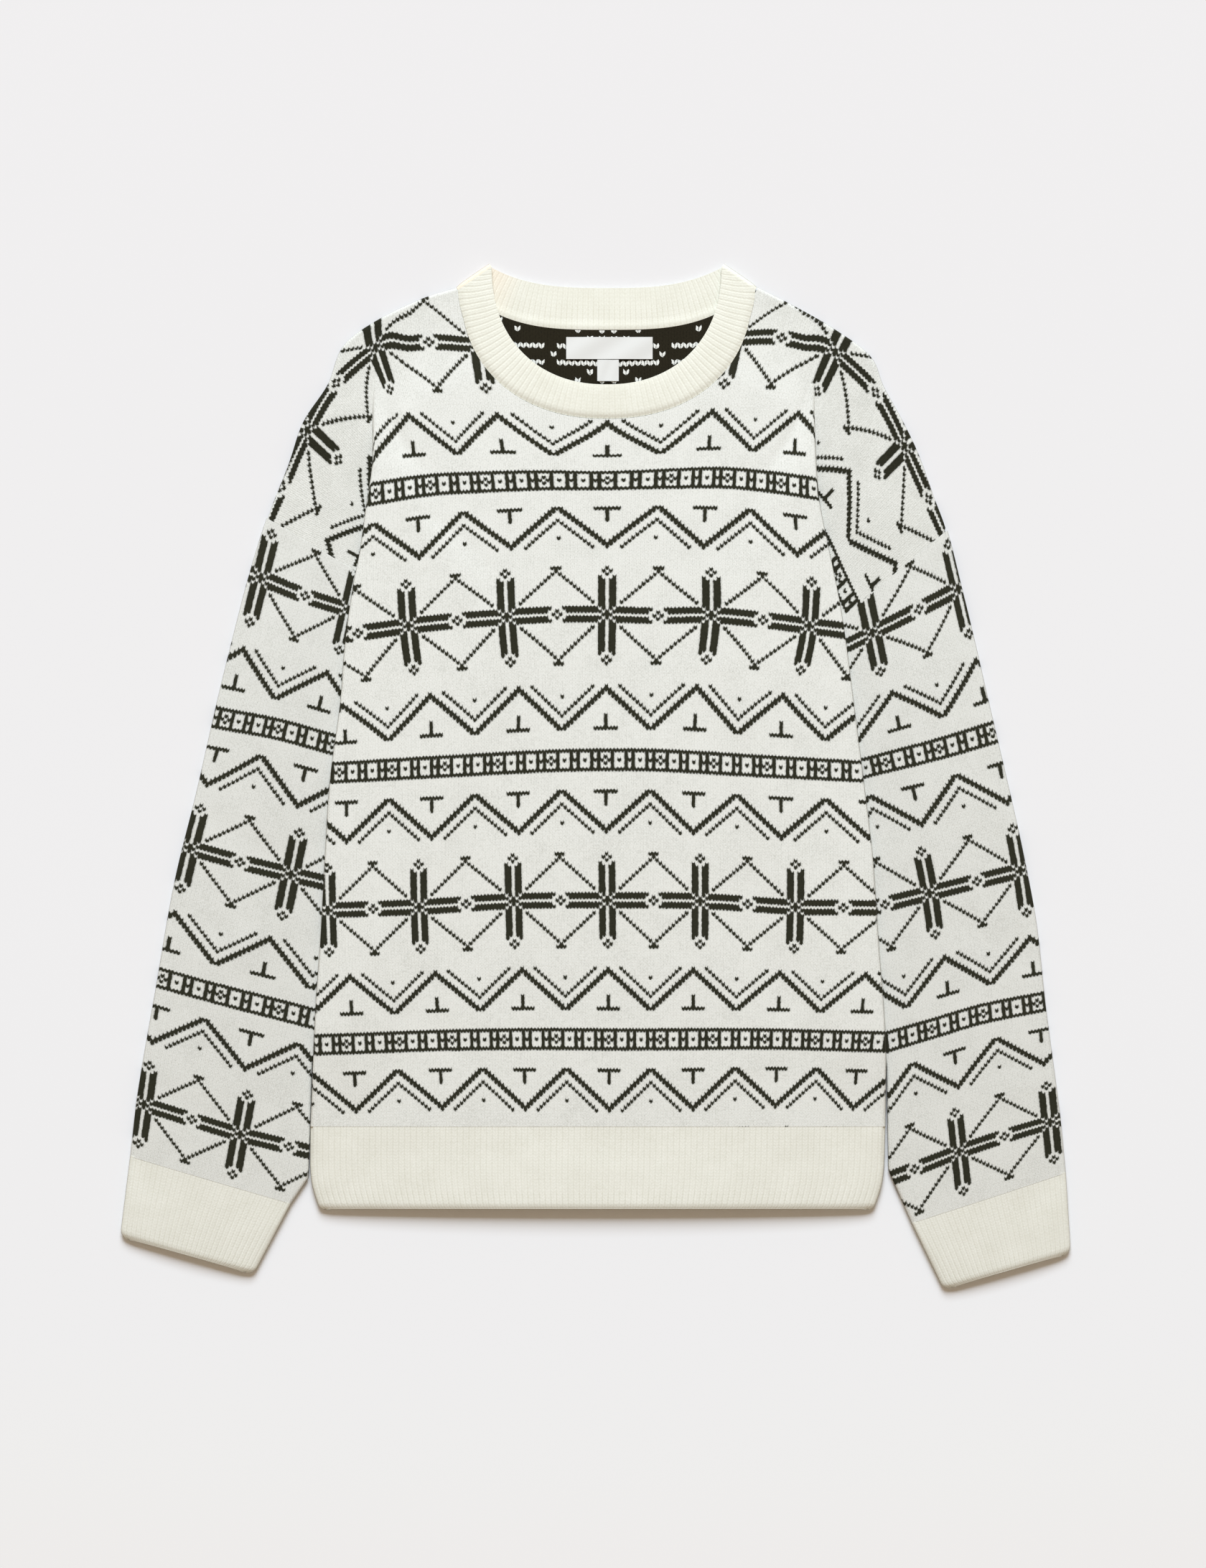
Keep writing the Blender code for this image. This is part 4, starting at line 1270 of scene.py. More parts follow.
def band_stops(layer, ribs, first, last):
    """(side, share, rib number at v 0, at v 1) along a layer, from side first to side last."""
    shares = even_shares(lambda t: tuple(layer(t, 0.0)[0]), ribs * BAND_POINTS // 2)
    stops = [(first, share) for share in reversed(shares)] + [(last, share) for share in shares[1:]]

    def spots(v):
        found = [(layer(share, v)[0], side["sign"]) for side, share in stops]
        return np.array([(sign * spot[1], spot[0]) for spot, sign in found])

    middle, across = spots(0.5), spots(1.0) - spots(0.0)
    steps = np.linalg.norm(np.diff(middle, axis=0), axis=1)
    run = np.concatenate([[0.0], np.cumsum(steps)])
    heading = np.gradient(middle, axis=0)
    heading /= np.linalg.norm(heading, axis=1)[:, None]
    slant = (across * heading).sum(axis=1)
    pitch = run[-1] / ribs
    return [
        (side, share, (r - lean / 2) / pitch, (r + lean / 2) / pitch)
        for (side, share), r, lean in zip(stops, run, slant)
    ]


FRONT_RIBS, BACK_RIBS = 74, 52
BAND_LAYERS = [
    (ring_front, FRONT_RIBS, band_stops(ring_front, FRONT_RIBS, LEFT, RIGHT), 1),
    (ring_back, BACK_RIBS, band_stops(ring_back, BACK_RIBS, RIGHT, LEFT), -1),
]
print("ribs round the band:", FRONT_RIBS + BACK_RIBS)

# %% [markdown]
# The ring's rows run from the seam to the free edge. The band is doubled, so it swells a little in
# its middle. Its seam is tucked under the front, and its back layer has a low lip at its seam. Each
# fold is half a turn between the two layers.

# %% Lay out the neckband
BAND_ROWS = 20
BAND_CROWN = 0.45
BAND_TUCK = 0.75
BAND_LIP = 0.3
BAND_RELIEF = 0.24
BAND_FOLD_STEPS = 6
MAP_DEPTH = 10  # rows of the stitch map from the seam to the free edge
MAP_BACK = 20  # where the back layer's rows start in the map


def band_fold(v, height, up):
    """(down, out, height) round a fold of the band, from the layer above if up is 1."""
    start = Vector((NECK_SEAM["top"], NECK_SEAM["half"] + NECK_SEAM["flare"]))
    end = Vector((NECK_FREE["top"], NECK_FREE["half"]))
    way = (end - start).normalized()
    outwards = Vector((way.y, -way.x))
    radius, middle = (height - NECK_BACK_Z) / 2, (height + NECK_BACK_Z) / 2
    turn = []
    for j in range(1, BAND_FOLD_STEPS):
        angle = (math.pi / 2 - math.pi * j / BAND_FOLD_STEPS) * up
        spot = start.lerp(end, v) + outwards * (radius * math.cos(angle))
        turn.append((spot.x, spot.y, middle + radius * math.sin(angle)))
    return turn


def band_row(v):
    """The ring's points and rib numbers at a share v of the way to its free edge."""
    row, numbers = [], []
    count = 0
    raised = BAND_CROWN * (1 - (2 * v - 1) ** 4) - BAND_TUCK * (1 - smooth(v / 0.14))
    lip = BAND_LIP * smooth(v / 0.05) * (1 - smooth((v - 0.1) / 0.1))
    for layer, ribs, stops, up in BAND_LAYERS:
        lift, relief_from = (raised, 0.0) if up > 0 else (lip, 0.14)
        relief = BAND_RELIEF * smooth((v - relief_from) / 0.1)
        map_row = v * MAP_DEPTH + (0 if up > 0 else MAP_BACK)
        for side, share, seam_rib, free_rib in stops:
            spot, z = layer(share, v)
            number = seam_rib + (free_rib - seam_rib) * v
            z += lift + (rib_profile(number) - 1) * relief
            row.append(place(side, spot.x, spot.y, z))
            numbers.append((count + number, map_row))
        end_rib = numbers[-1][0]
        for j, spot in enumerate(band_fold(v, NECK_FOLD_Z + raised, up), 1):
            row.append(place(side, *spot))
            numbers.append((end_rib + j / (BAND_FOLD_STEPS - 1), map_row))
        count += ribs + 1
    return row + row[:1], numbers + numbers[-1:]


points, numbers = zip(*(band_row(v / BAND_ROWS) for v in range(BAND_ROWS + 1)))
neckband = sheet_object("neckband_rib", points, numbers, RIB_CLOTH, closed=True)

# %% [markdown]
# ## Labels
#
# A woven satin label is sewn inside the back, with a small size tab under it. Both are left bare.
# A plane would look like a sticker. Woven tape never lies quite flat, so each one has a low wave.

# %% Labels
LABEL_ROWS, LABEL_COLUMNS = 12, 40
LABEL_CLOTH = 0.45
LABEL_REST = CLOTH + 0.65
LABELS = {
    "neck_label": {"width": 62.0, "height": 15.8, "down": 58.4, "out": 2.0, "wave": 0.5},
    "size_label": {"width": 15.4, "height": 15.4, "down": 74.4, "out": 1.0, "wave": 0.2},
}


def label(name):
    size = LABELS[name]
    a, b = np.meshgrid(
        np.linspace(-0.5, 0.5, LABEL_COLUMNS + 1), np.linspace(-0.5, 0.5, LABEL_ROWS + 1)
    )
    z = LABEL_REST + size["wave"] * np.sin(5 * a + 2 * b) ** 2
    stitches = np.stack([a * size["width"], b * size["height"]], axis=-1)
    out, down = size["out"] + stitches[..., 0], size["down"] + stitches[..., 1]
    return sheet_object(f"{name}_satin", np.stack([out, down, z], axis=-1), stitches, LABEL_CLOTH)


labels = {name: label(name) for name in LABELS}

# %% [markdown]
# ## Shader groups
#
# A picture of the pattern could be wrapped on the cloth, but it blurs close up and says nothing
# about how the pattern is built. Here the chart is arithmetic on the stitch map. A small helper
# turns Python expressions into Math nodes, so that the chart can be read as a knitter would say
# it: these stitches of these rows are dark.

# %% A value in a node tree that can be added, compared and joined


class Value:
    """A number in a node tree. & and | give the smaller and the larger of two numbers."""

    def __init__(self, tree, socket):
        self.tree, self.socket = tree, socket

    def do(self, operation, *others):
        node = self.tree.nodes.new("ShaderNodeMath")
        node.operation = operation
        for slot, value in zip(node.inputs, (self, *others)):
            if isinstance(value, Value):
                self.tree.links.new(value.socket, slot)
            else:
                slot.default_value = value
        return Value(self.tree, node.outputs[0])

    def __add__(self, other):
        return self.do("ADD", other)

    def __sub__(self, other):
        return self.do("SUBTRACT", other)

    def __mul__(self, other):
        return self.do("MULTIPLY", other)

    def __or__(self, other):
        return self.do("MAXIMUM", other)

    def __and__(self, other):
        return self.do("MINIMUM", other)

    def clamped(self, high=1):
        """No less than 0, and no more than a number."""
        return (self | 0) & high

    def at(self, *numbers):
        """1 where this whole number is one of those given."""
        found = self.do("COMPARE", numbers[0], 0.4)
        for number in numbers[1:]:
            found = found | self.do("COMPARE", number, 0.4)
        return found

    def span(self, low, high):
        """1 where this whole number is from low to high."""
        return self.do("COMPARE", (low + high) / 2, (high - low) / 2 + 0.4)

    def from_centre(self, repeat):
        """The distance to the nearest multiple of a repeat."""
        half = repeat / 2
        return ((self + half).do("FLOORED_MODULO", repeat) - half).do("ABSOLUTE")


# %% [markdown]
# An effect that several materials use is a node group with named inputs and outputs. It is built
# once, and a change to it changes all of them.

# %% A node group, and a vector taken apart
FLOAT, VECTOR = "NodeSocketFloat", "NodeSocketVector"


def new_group(name, inputs, outputs):
    """A node group with its named inputs and outputs, and a dictionary of the inputs' values."""
    group = bpy.data.node_groups.new(name, "ShaderNodeTree")
    for title, kind, default in inputs:
        socket = group.interface.new_socket(title, in_out="INPUT", socket_type=kind)
        if default is not None:
            socket.default_value = default
    for title, kind in outputs:
        group.interface.new_socket(title, in_out="OUTPUT", socket_type=kind)
    source = group.nodes.new("NodeGroupInput")
    sink = group.nodes.new("NodeGroupOutput")
    values = {title: Value(group, source.outputs[title]) for title, _, _ in inputs}
    return group, values, sink


def split(tree, vector):
    """A vector's first two numbers."""
    node = tree.nodes.new("ShaderNodeSeparateXYZ")
    tree.links.new(vector.socket, node.inputs[0])
    return Value(tree, node.outputs[0]), Value(tree, node.outputs[1])


print("groups so far:", len(bpy.data.node_groups))

# %% [markdown]
# One stitch is a V of two legs. Real loops of yarn would be many millions of faces, and from a step
# away only their V shows. Across, the map is folded in half at each stitch's middle. Down, the rows
# are lowered at the middle, so that the row's edge is a zigzag. The group gives out the stitch's
# whole numbers, the height of its yarn, and the gap between its legs.

# %% The stitch group
LEG_ROUND = 0.7  # below 1 a leg is full, with steep sides
stitch_group, given, sink = new_group(
    "Knit stitch",
    [("Stitches", VECTOR, None), ("Slant", FLOAT, 0.62)],
    [("Stitch", FLOAT), ("Row", FLOAT), ("Height", FLOAT), ("Gap", FLOAT)],
)
u, v = split(stitch_group, given["Stitches"])
across = u + 0.5
number = across.do("FLOOR")
leg = ((across - number) * 2 - 1).do("ABSOLUTE")
lowered = v + 0.5 + (leg - 0.5) * given["Slant"]
row = lowered.do("FLOOR")
side_way = leg * 2 - 1
end_way = (lowered - row) * 2 - 1
round_across = side_way * side_way * -1 + 1
round_along = end_way * end_way * -1 + 1
height = (round_across | 0).do("POWER", LEG_ROUND) * (round_along * 0.4 + 0.6)
gap = (leg * -3.2 + 1 | 0) * (end_way.do("ABSOLUTE") * 2.2 - 1.2 | 0)
for title, value in (("Stitch", number), ("Row", row), ("Height", height), ("Gap", gap)):
    stitch_group.links.new(value.socket, sink.inputs[title])
print("stitch group nodes:", len(stitch_group.nodes))

# %% [markdown]
# The chart, counted from the middle of a star: large stars in a row joined by dotted diamonds, a
# zigzag of two stitches with a dotted line beside it and a small T under each peak, and a ladder
# band between the zigzags. All of it mirrors about the stars and about the band, so a quarter of
# each motif is enough.

# %% The chart group: what is counted
BAND_TO_BAND, STAR_WIDE, ZIGZAG_WIDE, LADDER_WIDE = 90, 28, 26, 16
chart_group, given, sink = new_group(
    "Fair isle chart", [("Stitch", FLOAT, 0), ("Row", FLOAT, 0)], [("Dark", FLOAT)]
)
stitch, row = given["Stitch"], given["Row"]
p = row.from_centre(BAND_TO_BAND)  # rows from the middle of the nearest stars
q = p * -1 + BAND_TO_BAND / 2  # rows from the middle of the nearest band
a = stitch.from_centre(STAR_WIDE)  # stitches from the nearest star's middle
c = stitch.from_centre(ZIGZAG_WIDE)  # stitches from the nearest peak
m = (stitch + 1).do("FLOORED_MODULO", LADDER_WIDE)  # stitches into the ladder's repeat
print("nodes that count:", len(chart_group.nodes))

# %% [markdown]
# Each motif is a few short rules. In a star the first line is its arms up and down and the second
# its arms across. Then come its middle, its tips, and the slanting lines that join it to the next.

# %% The chart group: stars, zigzags and ladder
star = (a.at(2) & p.span(3, 12)) | (a.at(1) & p.span(2, 11))
star = star | (p.at(2) & a.span(3, 12)) | (p.at(1) & a.span(2, 11))
star = star | (a + p).span(0, 1)
star = star | (a.at(0) & p.at(13)) | (a.at(1) & p.at(14)) | (a.at(0) & p.at(15))
star = star | (p.at(0) & a.at(13)) | (p.at(1) & a.at(14))
star = star | ((a - p).at(0) & a.span(4, 14)) | (p.at(15) & a.span(13, 14))

zigzag = ((q + c).span(22, 23) & c.span(0, 12)) | (c.at(13) & q.at(10))
zigzag = zigzag | ((q + c).at(27) & c.span(4, 13)) | (c.at(13) & q.at(20))
zigzag = zigzag | (q.at(10) & c.span(0, 3)) | (c.at(0) & q.span(11, 14))

ladder = q.at(3) | (q.span(0, 2) & m.at(3, 7, 9, 13, 15))
ladder = ladder | (q.at(0) & m.at(0, 2, 5, 8, 11, 14)) | (q.at(1) & m.at(1))

dark = star | zigzag | ladder
chart_group.links.new(dark.socket, sink.inputs["Dark"])
print("chart group nodes:", len(chart_group.nodes))

# %% [markdown]
# Wool is fuzzy, so the dark yarn spreads a thin haze over the light stitches next to it. Hair by
# hair that would be far too much for a whole jumper. Instead the chart is read at the point itself
# and at three places round it: the first says where the dark yarn is, and the others, averaged, how
# much haze there is.

# %% The yarn group
HAZE_STEPS = [(0.0, 0.3), (-0.26, -0.15), (0.26, -0.15)]
yarn_group, given, sink = new_group(
    "Fair isle yarn",
    [("Stitches", VECTOR, None), ("Haze", FLOAT, 0.95)],
    [("Dark", FLOAT), ("Height", FLOAT), ("Gap", FLOAT)],
)


def chart_at(step):
    """The stitch and the dark of the chart at a step from the point, in stitches and rows."""
    nearby, stitch, chart = (
        yarn_group.nodes.new(kind)
        for kind in ("ShaderNodeVectorMath", "ShaderNodeGroup", "ShaderNodeGroup")
    )
    nearby.operation = "ADD"
    nearby.inputs[1].default_value = (*step, 0)
    stitch.node_tree, chart.node_tree = stitch_group, chart_group
    yarn_group.links.new(given["Stitches"].socket, nearby.inputs[0])
    yarn_group.links.new(nearby.outputs[0], stitch.inputs["Stitches"])
    for title in ("Stitch", "Row"):
        yarn_group.links.new(stitch.outputs[title], chart.inputs[title])
    return stitch, Value(yarn_group, chart.outputs["Dark"])


middle, dark = chart_at((0, 0))
near = [chart_at(step)[1] for step in HAZE_STEPS]
haze = (near[0] + near[1] + near[2]) * (1 / 3) * given["Haze"]
yarn_group.links.new((dark | haze).socket, sink.inputs["Dark"])
for title in ("Height", "Gap"):
    yarn_group.links.new(middle.outputs[title], sink.inputs[title])
print("yarn group nodes:", len(yarn_group.nodes))

# %% [markdown]
# ## Materials
#
# A tone that is read off cloth is a screen's number, from 0 to 255. A shader works with amounts of
# light, so each tone is turned into those first.

# %% A colour for a shader


def srgb(red, green, blue):
    """A colour given as it would be seen on a screen, 0 to 255, as the shader wants it."""
    parts = []
    for part in (red, green, blue):
        part /= 255
        parts.append(part / 12.92 if part <= 0.04045 else ((part + 0.055) / 1.055) ** 2.4)
    return (*parts, 1.0)


print("half way on a screen is", round(srgb(127.5, 0, 0)[0], 3), "of the light")

# %% [markdown]
# A material is a tree of nodes round one Principled shader. Placing each node by hand in a script
# is long to read, so a small class adds the ones that cloth needs.

# %% Helpers for materials


class Look:
    """A material being built: its tree, its shader, and short ways to add nodes."""

    def __init__(self, name, roughness):
        self.material = bpy.data.materials.new(name)
        self.material.use_nodes = True
        self.tree = self.material.node_tree
        self.shader = self.tree.nodes["Principled BSDF"]
        self.shader.inputs["Roughness"].default_value = roughness

    def node(self, kind, **settings):
        node = self.tree.nodes.new(kind)
        for key, value in settings.items():
            setattr(node, key, value)
        return node

    def link(self, source, target):
        self.tree.links.new(source, target)

    def group(self, group, **inputs):
        node = self.node("ShaderNodeGroup", node_tree=group)
        for title, value in inputs.items():
            if isinstance(value, bpy.types.NodeSocket):
                self.link(value, node.inputs[title])
            else:
                node.inputs[title].default_value = value
        return node

    def value(self, socket):
        return Value(self.tree, socket)

    def mix(self, factor, first, second):
        node = self.node("ShaderNodeMix", data_type="RGBA")
        for slot, value in ((0, factor), (6, first), (7, second)):
            if isinstance(value, bpy.types.NodeSocket):
                self.link(value, node.inputs[slot])
            else:
                node.inputs[slot].default_value = value
        return node.outputs[2]

    def noise(self, scale, detail, place=None):
        """A noise node, on the object's own places unless it is given others."""
        node = self.node("ShaderNodeTexNoise")
        node.inputs["Scale"].default_value = scale
        node.inputs["Detail"].default_value = detail
        place = place or self.node("ShaderNodeTexCoord").outputs["Object"]
        self.link(place, node.inputs["Vector"])
        return node

    def uneven(self, scale, detail=2.0):
        """A noise between -0.5 and 0.5."""
        return self.value(self.noise(scale, detail).outputs["Fac"]) - 0.5

    def wander(self, place, noise_place, scale, amount):
        """The place moved by a noise: the yarn never follows its grid exactly."""
        noise = self.noise(scale, 0.0, noise_place)
        centred = self.node("ShaderNodeVectorMath", operation="SUBTRACT")
        self.link(noise.outputs["Color"], centred.inputs[0])
        centred.inputs[1].default_value = (0.5, 0.5, 0.5)
        moved = self.node("ShaderNodeVectorMath", operation="MULTIPLY_ADD")
        self.link(centred.outputs[0], moved.inputs[0])
        moved.inputs[1].default_value = amount
        self.link(place, moved.inputs[2])
        return moved.outputs[0]

    def edge_shaded(self, colour):
        """The colour with painted shade where the cloth stands upright, at its walls and edges."""
        apart = self.node("ShaderNodeSeparateXYZ")
        self.link(self.node("ShaderNodeNewGeometry").outputs["Normal"], apart.inputs[0])
        upright = (self.value(apart.outputs["Z"]).do("ABSOLUTE") * -2.5 + 1.5).clamped()
        return self.mix((upright * EDGE_SHADE_DEPTH).socket, colour, EDGE_SHADE_TONE)

    def finish(self, colour, height, strength, distance):
        """Gives the shader its colour and its bump."""
        bump = self.node("ShaderNodeBump")
        bump.inputs["Strength"].default_value = strength
        bump.inputs["Distance"].default_value = distance
        self.link(height.socket, bump.inputs["Height"])
        self.link(bump.outputs["Normal"], self.shader.inputs["Normal"])
        self.link(colour, self.shader.inputs["Base Color"])
        return self.material


# Painted shade on upright cloth: how much of it, and its colour.
EDGE_SHADE_DEPTH, EDGE_SHADE_TONE = 0.75, srgb(110, 108, 98)
print("an edge's tone for the shader:", np.round(EDGE_SHADE_TONE, 3).tolist())

# %% [markdown]
# All of the knitted cloth is wool. It scatters light, so it is rough with hardly any gloss, and its
# colour varies in two ways: from hair to hair, and from place to place.

# %% What every wool has
WOOL_ROUGH = 0.95
WOOL_GLOSS = 0.15
HAIRS, PATCHES = 850.0, 60.0


class Wool(Look):
    """A wool material, with its stitch map and its two kinds of unevenness."""

    def __init__(self, name):
        super().__init__(name, WOOL_ROUGH)
        self.shader.inputs["Specular IOR Level"].default_value = WOOL_GLOSS
        self.stitches = self.node("ShaderNodeUVMap", uv_map="Stitches").outputs[0]
        self.hairs = self.uneven(HAIRS)
        self.patches = self.uneven(PATCHES)


print("wool:", WOOL_ROUGH, "rough")

# %% [markdown]
# The knit mixes two yarns by the chart, and the gaps between the legs of a stitch get painted
# shade. On the wrong side the colours change places, and the light yarn shows only as short
# strands.

# %% The two yarns, right side and wrong side
LIGHT_YARN = (236, 237, 230)
LIGHT_SHADE = (196, 197, 188)
DARK_YARN = (48, 48, 36)
DARK_SHADE = (28, 28, 18)
DEEP_YARN = (40, 36, 24)
DEEP_SHADE = (24, 20, 11)
INSIDE_SCALE = (0.7, 0.9)  # the wrong side's stitches are larger than the chart's
# How quickly the yarn's path changes, and how far it strays in stitches and in rows.
WANDERS = [(0.9, (0.3, 0.26, 0)), (5.0, (0.3, 0.3, 0))]


def right_side(look, stitches):
    """(the group of the yarn's form, where it is dark) on the right side."""
    knit = look.group(yarn_group, Stitches=stitches)
    return knit, look.value(knit.outputs["Dark"])


def wrong_side(look, stitches):
    """(the group of the yarn's form, where it is dark) on the wrong side."""
    larger = look.node("ShaderNodeVectorMath", operation="MULTIPLY")
    look.link(stitches, larger.inputs[0])
    larger.inputs[1].default_value = (*INSIDE_SCALE, 1)
    knit = look.group(stitch_group, Stitches=larger.outputs[0])
    column, row = (
        (look.value(knit.outputs[title]) * (1 / scale)).do("ROUND")
        for title, scale in zip(("Stitch", "Row"), INSIDE_SCALE)
    )
    chart = look.group(chart_group, Stitch=column.socket, Row=row.socket)
    strand = (look.value(knit.outputs["Height"]) * 4 - 1.0).clamped()
    strand = strand * look.value(knit.outputs["Row"]).do("FLOORED_MODULO", 2).at(0)
    return knit, look.value(chart.outputs["Dark"]) * strand * -1 + 1


def knit_look(name, facing, dark_tones, light_yarn_scale=1.0):
    """A jacquard knit in the light yarn and a dark one. light_yarn_scale scales the light yarn; on
    the sleeves it deepens it as painted shade.
    """
    look = Wool(name)
    moved = look.stitches
    for scale, amount in WANDERS:
        moved = look.wander(moved, look.stitches, scale, amount)
    knit, dark = facing(look, moved)
    height = look.value(knit.outputs["Height"])
    turned = look.node("ShaderNodeAttribute", attribute_name="TurnedShade").outputs["Fac"]
    # Painted shade: the yarn is deeper low on its leg, in the gaps, where hairs shade it, and on
    # the shoulder's turned cloth.
    shade = (height * -1 + 1) * 0.3 + look.value(knit.outputs["Gap"]) * 0.5
    shade = shade + look.hairs * 1.3 + look.patches * 0.5 + look.value(turned) * 0.22
    shade = shade.clamped().socket
    light_tones = ([part * light_yarn_scale for part in tone] for tone in (LIGHT_YARN, LIGHT_SHADE))
    light, deep = (
        look.mix(shade, *(srgb(*tone) for tone in tones)) for tones in (light_tones, dark_tones)
    )
    # The chart's two yarns, with painted shade where the cloth stands upright.
    colour = look.edge_shaded(look.mix(dark.socket, light, deep))
    return look.finish(colour, height + look.hairs * 0.4, 0.22, 0.0008)


outside = (right_side, (DARK_YARN, DARK_SHADE))
knit = knit_look("jacquard_knit_face", *outside, light_yarn_scale=0.992)
# The sleeves' copy is deeper: painted shade, as their stitches lie turned to the light.
knit_sleeve_shaded = knit_look("jacquard_knit_sleeve", *outside, light_yarn_scale=0.962)
knit_inside = knit_look("jacquard_knit_inside", wrong_side, (DEEP_YARN, DEEP_SHADE))
print("nodes in the knit:", len(knit.node_tree.nodes))

# %% [markdown]
# The ribs are one cream yarn. Their relief is in the sheet already, so the material adds the small
# stitches along each rib, the shade in the valleys, the holes of the linked seam, and a row of
# purls on the inside of the back neck.

# %% Rib
PURL_ROW, PURL_SPREAD = 23.4, 2.0
BLUSH = srgb(248, 226, 200)  # light that comes through the cloth in the band's left fold


def rib_look(name, face, shade):
    look = Wool(name)
    moved = look.wander(look.stitches, look.stitches, 1.5, (0.2, 0.3, 0))
    height = look.value(look.group(stitch_group, Stitches=moved).outputs["Height"])
    rib, row = split(look.tree, look.value(look.stitches))
    valley = (rib.from_centre(1) * 2 - 0.6 | 0) * 2.5
    seam_holes = valley * row.do("LESS_THAN", 0.5)
    purls = (row.from_centre(0.5) * 6 - 0.5 | 0) * row.do("COMPARE", PURL_ROW, PURL_SPREAD) * valley
    tone = (height * -1 + 1) * 0.15 + look.hairs * 0.8 + look.patches * 0.5 + 0.15
    tone = tone + valley * 0.25 + seam_holes * 0.5 + purls * 0.7
    colour = look.mix(tone.clamped(2).socket, face, shade)
    blush = (rib * 0.12 - 14.2).clamped() * row.do("GREATER_THAN", MAP_BACK - 1)
    # Then painted shade where the rib stands upright.
    colour = look.edge_shaded(look.mix((blush * 0.6).socket, colour, BLUSH))
    return look.finish(colour, height + look.hairs * 0.5, 0.15, 0.0008)


rib = rib_look("cream_rib", srgb(240, 240, 229), srgb(214, 213, 197))
cuff_rib = rib_look("cream_cuff_rib", srgb(237, 237, 226), srgb(212, 211, 195))
neck_rib = rib_look("cream_neck_rib", srgb(239, 239, 226), srgb(217, 215, 197))
print("nodes in a rib:", len(rib.node_tree.nodes))

# %% [markdown]
# Satin is smooth for cloth: less rough than wool, with a fine weave that hardly shows.

# %% Satin
satin_look = Look("bare_satin", 0.5)
weave = satin_look.uneven(3000.0, 1.0) + 0.5
tint = satin_look.mix((weave * 0.5).socket, srgb(229, 230, 226), srgb(218, 219, 214))
satin = satin_look.finish(tint, weave, 0.1, 0.0003)
print("materials:", len(bpy.data.materials))

# %% [markdown]
# ## Dressing the pieces
#
# Each piece takes its material, and the solid that it stands for is hidden. The table also names
# that solid, what cloth the piece is, the size that it was cut to, and its area where that cut
# isn't a rectangle.
# Nothing moves here, so every piece rides on the one body.

# %% Give each piece its material, and hide the solid it stands for
DRESS = [
    (front, "front_panel", knit, "jacquard_knit", (0.56, 0.60), 0.30, ["back_panel"]),
    (back, "back_panel", knit, "jacquard_knit", (0.50, 0.60), 0.25, ["floor"]),
    (sleeves["left"], "sleeve_left", knit_sleeve_shaded, "jacquard_knit", (0.34, 0.47), 0.14, ["floor"]),
    (sleeves["right"], "sleeve_right", knit_sleeve_shaded, "jacquard_knit", (0.34, 0.47), 0.14, ["floor"]),
    (hem_piece, "hem_rib", rib, "rib_knit", (0.82, 0.058), None, ["floor"]),
    (cuffs["left"], "cuff_left", cuff_rib, "rib_knit", (0.23, 0.055), None, ["floor"]),
    (cuffs["right"], "cuff_right", cuff_rib, "rib_knit", (0.23, 0.055), None, ["floor"]),
    (neckband, "neckband", neck_rib, "rib_knit", (0.55, 0.026), None, ["back_panel"]),
    (labels["neck_label"], "neck_label", satin, "satin", (0.062, 0.0158), None, ["back_panel"]),
    (labels["size_label"], "size_label", satin, "satin", (0.0154, 0.0154), None, ["back_panel"]),
]

for piece, node, material, slot, flat, area, rests_on in DRESS:
    piece.data.materials.append(material)
    if piece is back:
        piece.data.materials.append(knit_inside)
        piece.modifiers["Cloth"].material_offset = 1
        piece.modifiers["Cloth"].material_offset_rim = 1
    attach(piece, "root")
    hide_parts(node)
print("pieces dressed:", len(DRESS))

# %% [markdown]
# ## Floor, light and camera
#
# The garment lies on a pale floor under one wide, soft light from beyond the neck. A hard light
# would draw every rib. The shadows are filled by a warm, even world, so the lamp is a little cold.

# %% Light
LIGHT_AWAY = 6.0
LIGHT_HEIGHT = 40.0  # degrees above the floor
LIGHT_SIZE = 3.2
LIGHT_POWER = 482.0
LIGHT_COLOUR = (0.812, 0.897, 1.0)
FILL_COLOUR = (1.0, 0.78, 0.56, 1)
FILL_POWER = 0.36
scene = bpy.context.scene
scene.view_settings.view_transform = "Standard"
scene.view_settings.look = "None"
up = math.radians(LIGHT_HEIGHT)
toward_light = Vector((0, math.cos(up), math.sin(up)))
light_data = bpy.data.lights.new("soft_box", "AREA")
light_data.shape = "SQUARE"
light_data.size = LIGHT_SIZE
light_data.energy = LIGHT_POWER
light_data.color = LIGHT_COLOUR
soft_box = bpy.data.objects.new("soft_box", light_data)
soft_box.location = toward_light * LIGHT_AWAY
soft_box.rotation_mode = "QUATERNION"
soft_box.rotation_quaternion = toward_light.to_track_quat("Z", "Y")
scene.collection.objects.link(soft_box)

world = bpy.data.worlds.new("studio")
scene.world = world
world.use_nodes = True
sky = world.node_tree.nodes["Background"]
sky.inputs["Color"].default_value = FILL_COLOUR
sky.inputs["Strength"].default_value = FILL_POWER
print("the light is", round(soft_box.location.z, 2), "m above the floor")

# %% [markdown]
# A studio floor is a wide roll of paper, lit evenly. One lamp can't do that alone: the floor is
# brighter near it. So the paper is a little deeper there, by just as much as the lamp gives more.

# %% Floor
FLOOR_TONE = srgb(239, 239, 239)
FLOOR_SIZE = 3  # metres from its middle to its edge
FLOOR_DROP = 0.0003
PALEST = 0.97
KEY_SHARES = (0.54, 0.62, 0.68)  # how much of the floor's red, green and blue is the lamp's


def light_there(x, y):
    """How bright the soft box is at a place of the floor, against the middle."""
    away = soft_box.location - Vector((x, y, 0))
    return (LIGHT_AWAY / away.length) ** 4 * (away @ soft_box.location) / LIGHT_AWAY**2


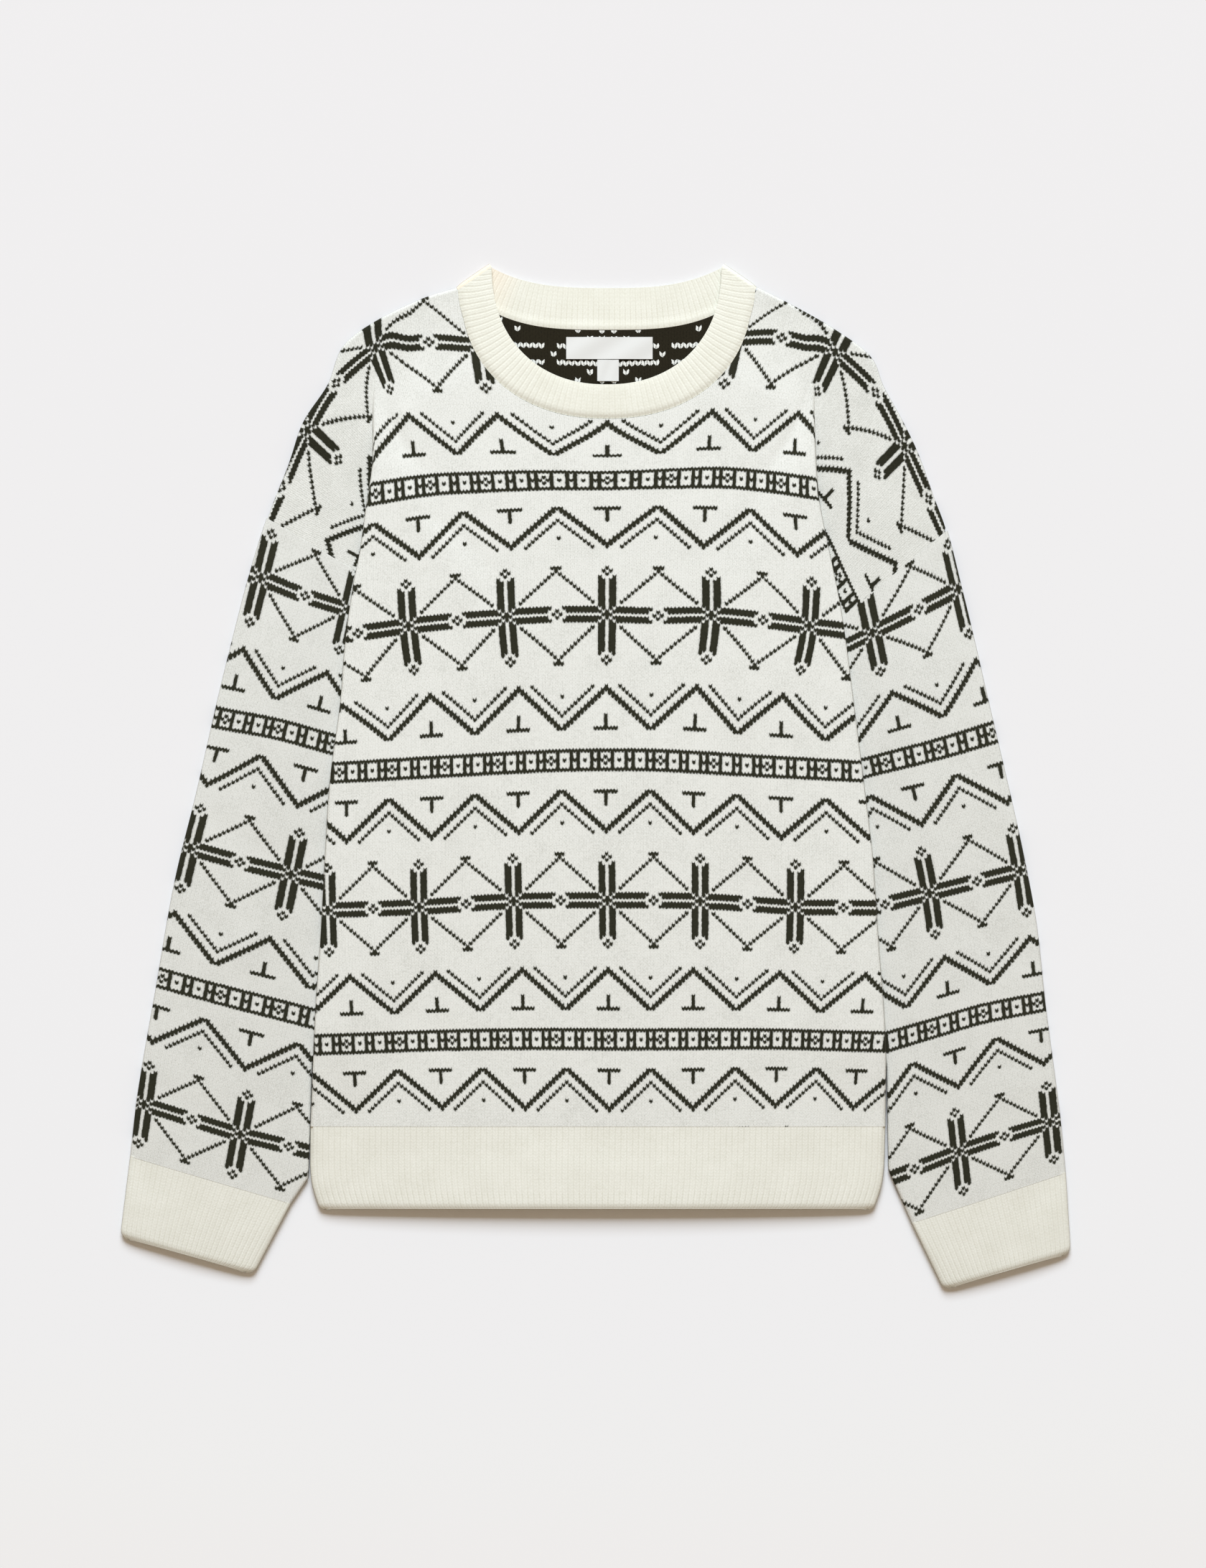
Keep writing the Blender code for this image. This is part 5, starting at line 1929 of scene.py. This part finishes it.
bm = bmesh.new()
bmesh.ops.create_grid(bm, x_segments=60, y_segments=60, size=FLOOR_SIZE)
tone = bm.verts.layers.float_color.new("Tone")
for vertex in bm.verts:
    key = light_there(vertex.co.x, vertex.co.y)
    even = [part / (1 - share + share * key) for part, share in zip(FLOOR_TONE, KEY_SHARES)]
    vertex[tone] = [min(part, PALEST) for part in even] + [1.0]
floor_mesh = bpy.data.meshes.new("floor")
bm.to_mesh(floor_mesh)
bm.free()
floor = bpy.data.objects.new("floor", floor_mesh)
floor.location.z = -FLOOR_DROP
scene.collection.objects.link(floor)
paper = Look("pale_floor", 0.9)
floor_tone = paper.node("ShaderNodeAttribute", attribute_name="Tone").outputs["Color"]
paper.link(floor_tone, paper.shader.inputs["Base Color"])
paper.shader.inputs["Specular IOR Level"].default_value = 0.0
floor_mesh.materials.append(paper.material)

print("the floor's corner gets", round(light_there(-FLOOR_SIZE, -FLOOR_SIZE), 3), "of the light")

# %% [markdown]
# The table gives how large each sheet was cut and what it lies on, which is only read here. The
# back, the sleeves and the lower ribs lie on the floor, and the rest lies on the back.

# %% Read what each sheet lies on
for piece, node, material, slot, flat, area, rests_on in DRESS:
    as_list(rests_on)
print("sheets laid:", len(DRESS))

# %% [markdown]
# The camera looks straight down. A long lens from high up keeps the flat shape true: a short one
# would show the near layers larger than the floor.

# %% Camera
VIEW_CENTRE = (5.4, -4.6)
VIEW_HEIGHT = 1124.8  # what the frame's longer side takes in
VIEWED_AT = 0.005  # the height, in metres, at which it does
LENS = 100.0
SENSOR = 36.0
camera_data = bpy.data.cameras.new("camera")
camera_data.lens = LENS
camera_data.sensor_width = SENSOR
camera = bpy.data.objects.new("camera", camera_data)
reach = VIEW_HEIGHT * MM * LENS / SENSOR
camera.location = (VIEW_CENTRE[0] * MM, VIEW_CENTRE[1] * MM, reach + VIEWED_AT)
camera_data.clip_start = 0.1
camera_data.clip_end = 20
scene.collection.objects.link(camera)
scene.camera = camera
print(f"camera {reach:.3f} m above the garment")

# %% [markdown]
# ## Finish
#
# The view layer is brought up to date.

# %% Finish
bpy.context.view_layer.update()
